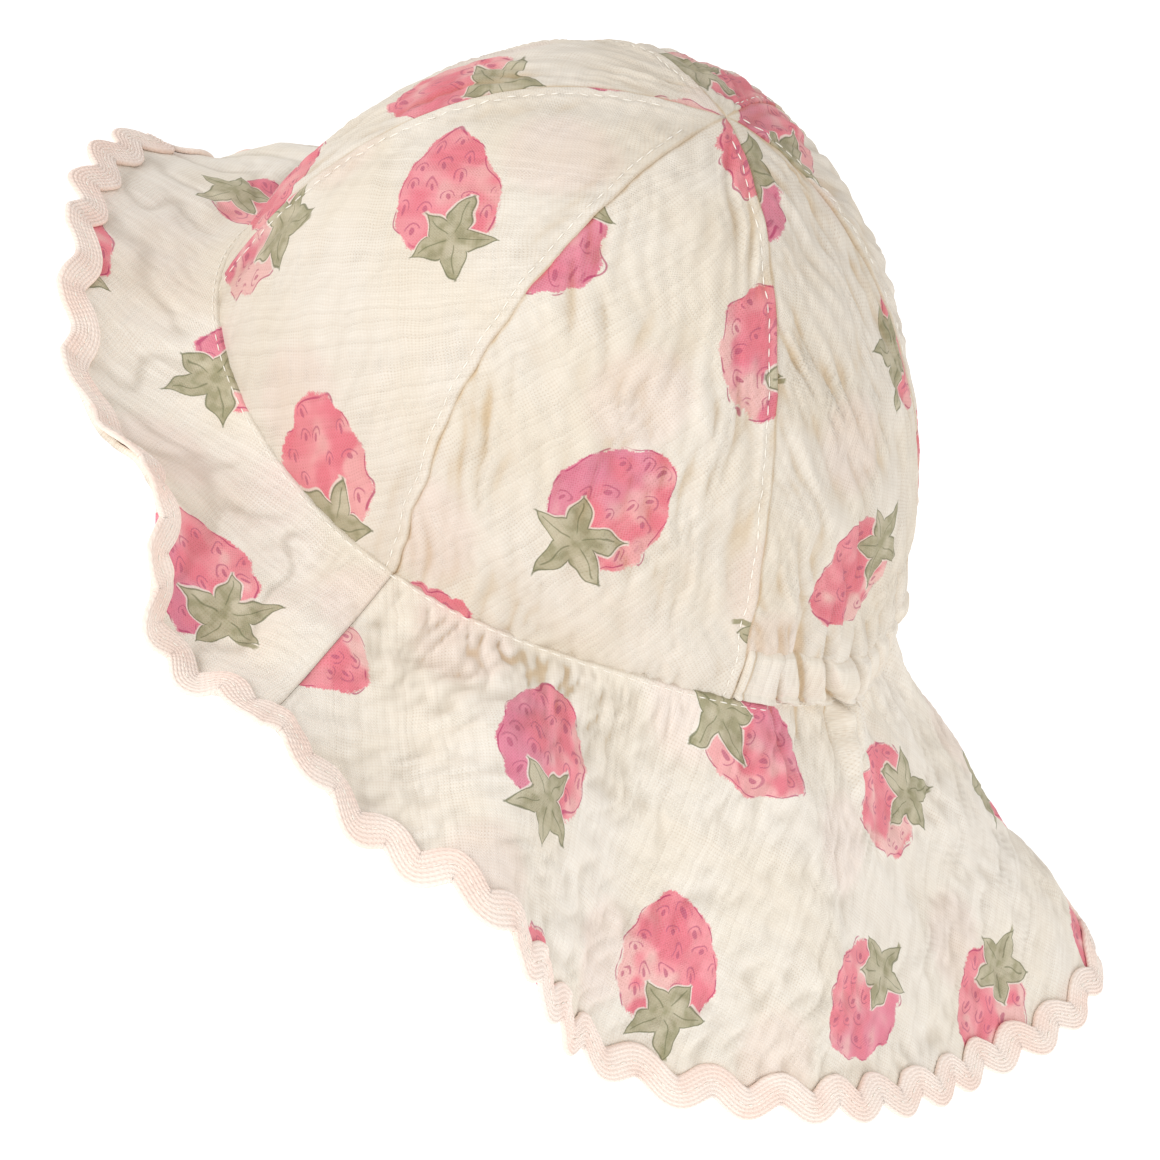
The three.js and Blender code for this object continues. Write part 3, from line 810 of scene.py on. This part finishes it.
def arc(start, turn, out):
    """How far an arc of length out leads on the level, and how far down, from its slope at the start."""
    still = np.abs(turn) < 1e-4
    safe = np.where(still, 1, turn)
    level = np.where(still, np.cos(start), (np.sin(start + turn) - np.sin(start)) / safe)
    fall = np.where(still, np.sin(start), (np.cos(start) - np.cos(start + turn)) / safe)
    return level * out, fall * out


def brim_plain(angle, distance):
    """The brim's top without its small folds: distance runs out from the crown."""
    length, start, end = brim_section(angle)
    out = np.maximum(distance, 0)
    before_curl = np.minimum(out, length - CURL["length"])
    in_curl = out - before_curl
    to_the_left = half_turn(angle)
    curled = ramp(CURL["from"], CURL["to"], to_the_left) * ramp(CURL["gone"], CURL["until"], to_the_left)
    curl_turn = curled * math.radians(CURL["turn"]) * in_curl / CURL["length"]
    first_turn = (end - start) * before_curl / length
    second_turn = (end - start) * in_curl / length + curl_turn
    level, fall = arc(start, first_turn, before_curl)
    level_more, fall_more = arc(start + first_turn, second_turn, in_curl)
    along = crown_surface(angle + 0.5, 0) - crown_surface(angle - 0.5, 0)
    outward = unit(np.stack([along[..., 1], -along[..., 0], 0 * along[..., 0]], -1))
    point = crown_surface(angle, 0) + outward * (level + level_more + np.minimum(distance, 0))[..., None]
    point[..., 2] += fold_height(angle, out / length) - fall - fall_more
    return point


def brim_normal(angle, distance):
    around = brim_plain(angle + 0.5, distance) - brim_plain(angle - 0.5, distance)
    out = brim_plain(angle, distance + 0.5) - brim_plain(angle, distance - 0.5)
    return unit(np.cross(out, around))


# Distance round the brim half way out, for puckers that fan out with the cloth
round_angles = np.linspace(-180, 540, 1441)
half_way_round = added_up(steps_of(brim_plain(round_angles, brim_section(round_angles)[0] / 2)))


def brim_cloth(angle, distance):
    """Points of the brim's finished top, its plain normals, and how much painted shade lies on them, most
    deep in a crease.
    """
    angle, distance = np.broadcast_arrays(np.asarray(angle, float), np.asarray(distance, float))
    length = brim_section(angle)[0]
    around = np.interp(half_turn(angle), round_angles, half_way_round)
    from_front = np.abs(half_turn(angle))
    from_side_seam = np.abs(from_front - SIDE_SEAM) * np.radians(1) * (75 + distance)
    from_edge = length - distance

    # The puckers are calmer beside the crown, the side seams and the edge, and all over the front brim
    calm = (0.3 + 0.7 * ramp(1, 8, distance)) * (0.4 + 0.6 * ramp(1, 6, from_side_seam))
    calm = calm * (0.4 + 0.6 * ramp(3, 12, from_edge))
    behind = ramp(SIDE_SEAM - 8, SIDE_SEAM + 16, from_front)
    puckered = FRONT_PUCKERED + (1 - FRONT_PUCKERED) * behind
    relief, valley = puckers(0.78 * around, 2.3 * distance, 91)
    calm = calm * puckered

    # Soft folds over the front brim
    aside = 0.4 * grid_noise(around / 15, distance / 12, 99)
    front_folds = np.abs(grid_noise(around / SOFT_FOLDS["wide"] + aside, distance / SOFT_FOLDS["long"], 98))
    soft_folds = SOFT_FOLDS["high"] * (1 - behind) * (front_folds - 0.3) * ramp(1, 9, distance)

    # Eased into the crown's seam, the brim stands in short soft folds beside it, most on the near side
    aside = 0.3 * grid_noise(around / 9, distance / 9, 96)
    eased = np.abs(grid_noise(around / SHORT_FOLDS["wide"] + aside, distance / SHORT_FOLDS["long"], 97))
    near_seam = ramp(0.8, 4, distance) * ramp(27, 5, distance)
    left_side = bump(80, 24, angle) + 0.35 * puckered
    short_folds = SHORT_FOLDS["high"] * left_side * (eased**0.9 - 0.4) * near_seam

    # Billows of the whole brim, the elastic's gathers, and the dips and ridges of the seams
    billow = grid_noise(around / BILLOWS["wide"], distance / BILLOWS["long"], 93) * ramp(4, 24, distance)
    billow = BILLOWS["high"] * billow
    puffs, zone = gathered(angle, -1)
    gathers = GATHERS["high"] * (puffs**2.5 - 0.3 * zone) * ramp(0.5, 5, distance) * ramp(30, 4, distance)
    side_seam = -0.25 * bump(0, 0.6, from_side_seam) + 0.2 * bump(2.6, 1.4, from_side_seam)
    seam = -0.3 * ramp(0.8, 0, distance) - 0.12 * bump(BRIM_STITCHES, 0.5, distance)
    height = seam + 0.6 * relief * calm + short_folds + billow + soft_folds + gathers + side_seam
    normal = brim_normal(angle, distance)
    point = brim_plain(angle, distance) + normal * height[..., None]

    # Painted shade: what lies down in a fold, a gather or a seam is darker, and the whole brim a little, more
    # behind the side seams
    fold_shade = ramp(0.3, 0, eased) * near_seam * left_side * 0.6
    fold_shade = fold_shade + 0.8 * zone * ramp(0.6, 0.1, puffs) * ramp(18, 2, distance)
    fold_shade = fold_shade + 0.45 * (1 - behind) * ramp(0.2, 0, front_folds) * ramp(3, 12, distance)
    seam_shade = ramp(0.9, 0.1, np.abs(distance)) + ramp(0.8, 0.1, from_side_seam)
    crease_shade = np.clip(0.12 * puckered + valley * calm + fold_shade + seam_shade * 0.5, 0, 1)

    # The elastic draws the flap in, and so does the hollow under the nape
    drawn_in = CASING["drawn_in"] * zone * ramp(24, 0, distance)
    round_hat = np.mod(angle, 360)
    nape = ramp(NAPE["from"], NAPE["full"], round_hat) * ramp(NAPE["to"], NAPE["full_to"], round_hat)
    drawn_in = drawn_in + NAPE["depth"] * nape * ramp(0, 6, distance) * ramp(NAPE["reach"], 12, distance)
    point[..., :2] -= unit(crown_surface(angle, 0)[..., :2]) * drawn_in[..., None]
    return point, normal, crease_shade


def unrolled(angles):
    """The brim laid flat, column by column: where each column starts at the crown, and its direction."""
    length = brim_section(angles)[0]
    rim_steps = steps_of(brim_plain(angles, 0 * angles))
    edge_steps = steps_of(brim_plain(angles, length))
    across_edge = np.sqrt(np.maximum(edge_steps**2 - np.diff(length) ** 2, 0))
    fan = (across_edge - rim_steps) / (length[:-1] + length[1:]) * 2
    turn = added_up(fan)
    turn = turn - turn[-1] / 2
    middle = (turn[:-1] + turn[1:]) / 2
    steps = np.stack([np.cos(middle), np.sin(middle)], -1) * rim_steps[:, None]
    starts = np.concatenate([[[0, 0]], np.cumsum(steps, axis=0)])
    return starts, np.stack([np.sin(turn), -np.cos(turn)], -1)


SEAM_GAP = 0.02
for part in BRIM_PARTS:
    angles = np.linspace(part["from"] + SEAM_GAP, part["to"] - SEAM_GAP, part["around"] + 1)
    rows = warped_steps(part["out"], 0.35)
    length = brim_section(angles)[0]
    distance = -BRIM_TUCK + rows[:, None] * (length - UNDER_BRAID + BRIM_TUCK)[None, :]
    top, normal, crease_shade = brim_cloth(angles[None, :], distance)
    under = top - normal * BRIM_WALL
    starts, directions = unrolled(angles)
    pattern = starts[None] + directions[None] * distance[..., None]
    size, area = flat_size(pattern)
    print_place = turned(pattern, part["move"], part["turn"])
    name = f"gauze_{part['name']}"
    piece = cloth_wall(name, top, under, print_place, crease_shade, reverse_shift=(71, 23))
    piece.data.materials.append(printed_gauze)
    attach(piece, "root")
    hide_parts(part["name"])


# Elastic casing
# A folded strip of plain gauze sewn across the back of the crown over a flat elastic, which gathers it
# into soft puffs. Its ends are turned under, and its top goes under the crown's cloth.
CASING_GRID = {"around": 440, "up": 28}
CASING_FLOOR = 0.2
CASING_BACK = 1.4
# The strip was cut about 1.3 times as long as the gathered casing, and a little wider for its turned edges
CASING_CUT = (16, 200)


def casing_angle(share):
    return CASING["from"] + (CASING["to"] - CASING["from"]) * share


def casing_rise(angle, part, wander):
    """How far up the crown a part of the casing's height lies, with the wander of its lower edge."""
    return rise_at(angle, CASING_FLOOR + part * (CASING["height"] - CASING_FLOOR) + wander)


def casing_cloth(share, part):
    """Points of the casing's outside, its normals, and how much painted shade lies on them, most deep in a
    crease: share runs along it, and part from bottom to top."""
    share, part = np.broadcast_arrays(np.asarray(share, float), np.asarray(part, float))
    angle = casing_angle(share)
    puffs, zone = gathered(angle, part * 2 - 1)
    from_end = np.minimum(share, 1 - share) * CASING["length"]
    belly = 0.75 + 0.25 * np.sin(np.pi * part) ** 0.7
    puff = 4.2 * puffs * belly
    panel = 0.35 * (1 - zone)
    turned_end = 0.35 * ramp(1.9, 1.4, from_end) - 0.15 * bump(1.9, 0.35, from_end)
    closed_end = -0.7 * ramp(0.5, 0, from_end)
    lips = 0.7 * bump(0.07, 0.05, part) - 0.3 * bump(0.15, 0.03, part)
    rolled = -0.8 * ramp(0.04, 0, part) - 1.4 * ramp(0.87, 1, part)
    soft = 0.22 * grid_noise(share * 58, part * 2.2, 59) + 0.12 * grid_noise(share * 110, part * 5, 58)
    height = 0.25 + puff + panel + turned_end + closed_end + lips + rolled + soft - CASING["drawn_in"] * zone
    wander = zone * line_noise(share * 30, 57) * (1 - part) ** 2
    rise = casing_rise(angle, part, wander)
    normal = unit(crown_normal(angle, rise) * [1, 1, 0])
    # Painted shade: a little all over, more down in the gathers' grooves and at the turned ends
    crease_shade = np.clip(0.36 + zone * ramp(0.5, 0.1, puffs) + 0.6 * bump(2, 0.4, from_end), 0, 1)
    return crown_surface(angle, rise) + normal * height[..., None], normal, crease_shade


share = np.linspace(0, 1, CASING_GRID["around"] + 1)[None, :]
part = np.linspace(0, 1, CASING_GRID["up"] + 1)[:, None]
outside, normal, crease_shade = casing_cloth(share, part)
angle = casing_angle(share) + 0 * part
depth = CASING_BACK + CASING["drawn_in"] * gathered(angle, 0)[1][..., None]
inside = crown_surface(angle, casing_rise(angle, part, 0 * share)) - normal * depth
pattern = np.stack([share * CASING_CUT[1] + 0 * part, part * CASING_CUT[0] + 0 * share], -1)
casing = cloth_wall("gauze_casing", outside, inside, pattern, crease_shade, reverse_shift=(0, 31))
plain_gauze = gauze("plain_gauze", False)
casing.data.materials.append(plain_gauze)
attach(casing, "root")
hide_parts("elastic_casing")


# Rickrack
# A flat cotton braid woven in waves, sewn on top of the brim's edge all the way round.
RICKRACK = {"half_width": 3.7, "thickness": 1.0, "swing": 2.0, "inset": 3.2, "waves": 53, "ribs": 8,
            "rib_depth": 0.26, "loop": 0.95}
RICKRACK_GRID = {"per_wave": 26, "per_rib": 4}

fine_angles = np.linspace(0, 360, 1441)
fine_line = brim_plain(fine_angles, brim_section(fine_angles)[0] - RICKRACK["inset"])
fine_round = added_up(steps_of(fine_line))
EDGE_ROUND = fine_round[-1]

# How many waves the braid has made by some angles: they are drawn out at the front, and closer behind it
WAVES_BY_ANGLE = {0: 0, 28: 3, 58: 8, 97: 14, 134: 19, 178: 27, 360: RICKRACK["waves"]}
wave_rounds = np.interp(list(WAVES_BY_ANGLE), fine_angles, fine_round)
fine_waves = np.interp(fine_round, wave_rounds, list(WAVES_BY_ANGLE.values()))


def rickrack_place(along, offset):
    """Distance round the edge and inside it, for a place along the braid and across it."""
    turn = 2 * np.pi * np.interp(along, fine_round, fine_waves)
    turns = 2 * np.pi * np.interp(along, fine_round, np.gradient(fine_waves, fine_round))
    slope = RICKRACK["swing"] * turns * np.sin(turn)
    middle = RICKRACK["inset"] - RICKRACK["swing"] * np.cos(turn)
    tilt = np.sqrt(1 + slope**2)
    return along - offset * slope / tilt, middle + offset / tilt


def on_brim(around, inset, height):
    """A point over the brim's top, from distances round its edge and inside it."""
    angle = np.interp(np.mod(around, EDGE_ROUND), fine_round, fine_angles)
    distance = brim_section(angle)[0] - inset
    point, normal, _ = brim_cloth(angle, distance)
    return point + normal * height[..., None]


def braid_lift(along):
    """How far the braid lies off the brim, here and there a little more."""
    return 0.45 + 0.35 * grid_noise(along / 17, 0 * along, 71)


columns = RICKRACK["waves"] * RICKRACK_GRID["per_wave"]
along = np.arange(columns)[None, :] * EDGE_ROUND / columns
ribs = RICKRACK["ribs"] * RICKRACK_GRID["per_rib"]
offsets = np.linspace(-1, 1, ribs + 1)[:, None]
rib_height = RICKRACK["rib_depth"] * np.abs(np.sin(np.pi * RICKRACK["ribs"] * (offsets + 1) / 2)) ** 0.6
edge_round_off = 0.45 * np.abs(offsets) ** 8
lift = braid_lift(along)
tilt = 0.35 * offsets * grid_noise(along / 12, 0 * along, 72)
top_height = lift + tilt + RICKRACK["thickness"] - RICKRACK["rib_depth"] + rib_height - edge_round_off
top_place = rickrack_place(along, offsets * RICKRACK["half_width"])
top = on_brim(*top_place, top_height)
under_offsets = np.linspace(0.97, -0.97, 4)[:, None]
under_place = rickrack_place(along, under_offsets * RICKRACK["half_width"])
under = on_brim(*under_place, lift - 0.25 + 0 * under_place[0])
ring = np.concatenate([top, under])
braid_flat = np.concatenate([offsets, under_offsets]) * RICKRACK["half_width"] + 0 * along
flat = np.stack([along + 0 * braid_flat, braid_flat], -1)


def ring_mesh(name, points, flat):
    """A closed mesh round a ring: its columns follow each other round, and its rows close on themselves."""
    numbers = np.arange(points.shape[0] * points.shape[1]).reshape(points.shape[:2])
    faces = squares(np.pad(numbers, (0, 1), mode="wrap")).reshape(-1, 4)
    mesh = bpy.data.meshes.new(name)
    mesh.from_pydata((points * MM).reshape(-1, 3).tolist(), [], faces.tolist())
    stretched = np.concatenate([flat, flat[:, :1] + [EDGE_ROUND, 0]], axis=1)
    stretched = np.concatenate([stretched, stretched[-1:]], axis=0)
    places = squares(stretched).reshape(-1, 2)
    mesh.uv_layers.new(name="flat_pattern").data.foreach_set("uv", (places * MM).ravel())
    return smooth_piece(mesh)


BRAID_PALE = from_screen(255, 241, 231)
BRAID_BLUSH = from_screen(254, 232, 220)
BRAID_GROOVE_SHADE = from_screen(244, 214, 196)


def braid_cotton():
    """Soft ribbed cotton, with a small loop of thread every millimetre along each rib, and painted shade in
    its grooves.
    """
    material, x, y = cotton("rickrack_braid")
    rib_pitch = 2 * RICKRACK["half_width"] / RICKRACK["ribs"]
    rib_wave = (y * (2 * math.pi / rib_pitch)).work_out("COSINE")
    loops = ((x + rib_wave * 0.22) * (2 * math.pi / RICKRACK["loop"])).work_out("SINE")
    fuzz = painted_noise(x, y, 0.5, 1.0, 3.0)
    patches = painted_noise(x, y, 9.0, 1.0, 6.0)
    blush = tinted(patches.ramp(0.35, 0.7), BRAID_PALE, BRAID_BLUSH)
    # Painted shade: darker down between the ribs and between the loops
    rib_groove_shade = rib_wave.ramp(0.1, 1.0) * 0.55 + (loops * -1).ramp(0.2, 1.0) * 0.25
    colour = tinted(rib_groove_shade * 0.4, blush, BRAID_GROOVE_SHADE)
    finish = {"Sheen Weight": 0.2, "Sheen Roughness": 0.6, "Specular IOR Level": 0.2}
    return surfaced(material, colour, 0.8 + fuzz * 0.15, finish, loops * 0.05 + fuzz * 0.06)


rickrack = ring_mesh("rickrack_braid", ring, flat)
rickrack.data.materials.append(braid_cotton())
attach(rickrack, "root")
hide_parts("rickrack_trim")


# Topstitching
# White cotton thread in short straight stitches: beside each crown seam, round the brim beside the
# crown, and along the middle of the rickrack.
STITCH_RADIUS = 0.15
THREAD_LIFT = 0.1
TWIST_PITCH = 0.35
THREAD_CREAM = from_screen(246, 240, 228)
THREAD_WHITE = from_screen(255, 252, 245)


def thread_cotton():
    """White sewing thread with a fine twist."""
    material = bpy.data.materials.new("sewing_thread")
    material.use_nodes = True
    tree = material.node_tree
    place = tree.nodes.new("ShaderNodeTexCoord")
    split = add_node(tree, "ShaderNodeSeparateXYZ", {}, {0: place.outputs["Object"]})
    x, y, z = (Reading(tree, output) * (1 / MM) for output in split.outputs)
    twist = ((x + y + z) * (2 * math.pi / TWIST_PITCH)).work_out("SINE")
    colour = tinted(twist.ramp(-1, 1), THREAD_CREAM, THREAD_WHITE)
    return surfaced(material, colour, 0.5 + twist * 0.1, {"Sheen Weight": 0.2})


sewing_thread = thread_cotton()


def stitching_tree():
    """Geometry nodes that turn curves into rows of stitches, each a thin ball that lies along its curve."""
    tree = bpy.data.node_groups.new("rows_of_stitches", "GeometryNodeTree")
    inputs = {"Paths": "Geometry", "Pitch": "Float", "Stitch length": "Float", "Thread radius": "Float",
              "Thread": "Material"}
    for name, kind in inputs.items():
        tree.interface.new_socket(name, in_out="INPUT", socket_type=f"NodeSocket{kind}")
    tree.interface.new_socket("Stitches", in_out="OUTPUT", socket_type="NodeSocketGeometry")
    given = tree.nodes.new("NodeGroupInput").outputs
    along = {"Curve": given["Paths"], "Length": given["Pitch"]}
    points = add_node(tree, "GeometryNodeCurveToPoints", {"mode": "LENGTH"}, along).outputs
    ball = add_node(tree, "GeometryNodeMeshUVSphere", {}, {"Segments": 6, "Rings": 6, "Radius": 1.0})
    half = add_node(tree, "ShaderNodeMath", {"operation": "MULTIPLY"}, {0: given["Stitch length"], 1: 0.5})
    thin = {"X": given["Thread radius"], "Y": given["Thread radius"], "Z": half.outputs[0]}
    size = add_node(tree, "ShaderNodeCombineXYZ", {}, thin).outputs[0]
    stitch = add_node(tree, "GeometryNodeTransform", {}, {"Geometry": ball.outputs["Mesh"], "Scale": size})
    uneven = {"Min": (0.9, 0.9, 0.82), "Max": (1.1, 1.1, 1.12), "Seed": 5}
    uneven = add_node(tree, "FunctionNodeRandomValue", {"data_type": "FLOAT_VECTOR"}, uneven).outputs[0]
    row = {"Points": points["Points"], "Rotation": points["Rotation"],
           "Instance": stitch.outputs["Geometry"], "Scale": uneven}
    row = add_node(tree, "GeometryNodeInstanceOnPoints", {}, row).outputs[0]
    real = add_node(tree, "GeometryNodeRealizeInstances", {}, {0: row}).outputs[0]
    sewn = add_node(tree, "GeometryNodeSetMaterial", {}, {"Geometry": real, "Material": given["Thread"]})
    add_node(tree, "NodeGroupOutput", {}, {"Stitches": sewn.outputs[0]})
    return tree


rows_of_stitches = stitching_tree()


def stitched(name, paths, pitch, stitch_length):
    """Rows of stitches along paths of points in mm."""
    curve = bpy.data.curves.new(f"{name}_paths", "CURVE")
    curve.dimensions = "3D"
    for path in paths:
        line = curve.splines.new("POLY")
        line.points.add(len(path) - 1)
        line.points.foreach_set("co", np.concatenate([path * MM, np.ones((len(path), 1))], axis=1).ravel())
    guide = placed(curve)
    sewing = guide.modifiers.new("sewing", "NODES")
    sewing.node_group = rows_of_stitches
    sockets = {item.name: item.identifier for item in rows_of_stitches.interface.items_tree}
    sewing[sockets["Pitch"]] = pitch * MM
    sewing[sockets["Stitch length"]] = stitch_length * MM
    sewing[sockets["Thread radius"]] = STITCH_RADIUS * MM
    sewing[sockets["Thread"]] = sewing_thread
    evaluated = guide.evaluated_get(bpy.context.evaluated_depsgraph_get())
    mesh = bpy.data.meshes.new_from_object(evaluated)
    mesh.name = name
    mesh.polygons.foreach_set("use_smooth", [True] * len(mesh.polygons))
    bpy.data.objects.remove(guide)
    piece = placed(mesh)
    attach(piece, "root")


seam_paths = []
for gore in GORES:
    rises, widths, _ = gore["measured"]
    rise = np.linspace(0.012, 0.93, 240)
    width = np.interp(rise, rises, widths)
    for on_top, end in zip(gore["on_top"], (0, 1)):
        if on_top:
            inside_seam = np.minimum(SEAM["stitches"], 0.45 * width) / width
            across = inside_seam if end == 0 else 1 - inside_seam
            point, normal, _, _ = gore_cloth(gore, across, rise)
            seam_paths.append(point + normal * THREAD_LIFT)
stitched("stitches_crown_seams", seam_paths, 3.0, 2.1)

all_round = np.arange(0, 360.1, 0.5)
point, normal, _ = brim_cloth(all_round, BRIM_STITCHES)
stitched("stitches_brim_seam", [point + normal * THREAD_LIFT], 2.9, 2.0)

around = np.linspace(0, EDGE_ROUND, 2400)
braid_top = braid_lift(around) + RICKRACK["thickness"]
rickrack_path = on_brim(*rickrack_place(around, 0 * around), braid_top)
stitched("stitches_rickrack", [rickrack_path], 2.85, 1.5)


# Studio
# The hat is photographed as a head holds it, in soft even light, over a plain pale floor well below it.
FLOOR_DROP = 0.9
FLOOR_HALF = 8
PAPER = {
    "Base Color": (0.95, 0.95, 0.95, 1), "Roughness": 0.9, "Specular IOR Level": 0.1,
    "Emission Color": (1, 1, 1, 1), "Emission Strength": 0.36,
}
floor_mesh = bpy.data.meshes.new("floor")
corners = ((-1, -1), (1, -1), (1, 1), (-1, 1))
floor_corners = [(x * FLOOR_HALF, y * FLOOR_HALF, -FLOOR_DROP) for x, y in corners]
floor_mesh.from_pydata(floor_corners, [], [(0, 1, 2, 3)])
floor = placed(floor_mesh)
floor_paper = bpy.data.materials.new("floor_paper")
floor_paper.use_nodes = True
for name, value in PAPER.items():
    floor_paper.node_tree.nodes["Principled BSDF"].inputs[name].default_value = value
floor.data.materials.append(floor_paper)

WORLD_LIGHT = {"Color": (1.0, 0.985, 0.97, 1), "Strength": 0.78}
world = bpy.data.worlds.new("studio")
bpy.context.scene.world = world
world.use_nodes = True
for name, value in WORLD_LIGHT.items():
    world.node_tree.nodes["Background"].inputs[name].default_value = value

# The camera stands at the photograph's angle, rolled, with a long lens
AZIMUTH, ELEVATION, ROLL = map(math.radians, (78.144, 38.647, 24.652))
TARGET = Vector((0.030069, 0.006467, -0.00982))
CAMERA_DISTANCE = 1.3
FOCAL_PIXELS, FRAME_PIXELS = 6087, 1160
SENSOR_WIDTH = 36
back = Vector(
    (math.sin(AZIMUTH) * math.cos(ELEVATION), -math.cos(AZIMUTH) * math.cos(ELEVATION), math.sin(ELEVATION))
)
level = Vector((math.cos(AZIMUTH), math.sin(AZIMUTH), 0))
upright = back.cross(level)
picture_right = level * math.cos(ROLL) + upright * math.sin(ROLL)
picture_up = upright * math.cos(ROLL) - level * math.sin(ROLL)
lens = bpy.data.cameras.new("camera")
lens.sensor_width = SENSOR_WIDTH
lens.lens = SENSOR_WIDTH * FOCAL_PIXELS / FRAME_PIXELS
camera = placed(lens)
place = Matrix((picture_right, picture_up, back)).transposed().to_4x4()
place.translation = TARGET + back * CAMERA_DISTANCE
camera.matrix_world = place
bpy.context.scene.camera = camera

# Two large soft boxes: the stronger to the left of the picture, the other to the right and low
SOFT_BOX_SIZE = 1.4
SOFT_BOX_DISTANCE = 2.0
SOFT_BOX_COLOUR = (1.0, 0.99, 0.97)
for name, watts, towards in (
    ("soft_box_left", 17, back * 0.62 - picture_right * 0.57 + picture_up * 0.2),
    ("soft_box_right", 10, back * 0.6 + picture_right * 0.6 - picture_up * 0.5),
):
    lamp = bpy.data.lights.new(name, "AREA")
    lamp.shape = "DISK"
    lamp.size = SOFT_BOX_SIZE
    lamp.energy = watts
    lamp.color = SOFT_BOX_COLOUR
    soft_box = placed(lamp)
    towards = towards.normalized()
    soft_box.location = TARGET + towards * SOFT_BOX_DISTANCE
    soft_box.rotation_mode = "QUATERNION"
    soft_box.rotation_quaternion = towards.to_track_quat("Z", "Y")

bpy.context.scene.view_settings.view_transform = "Standard"
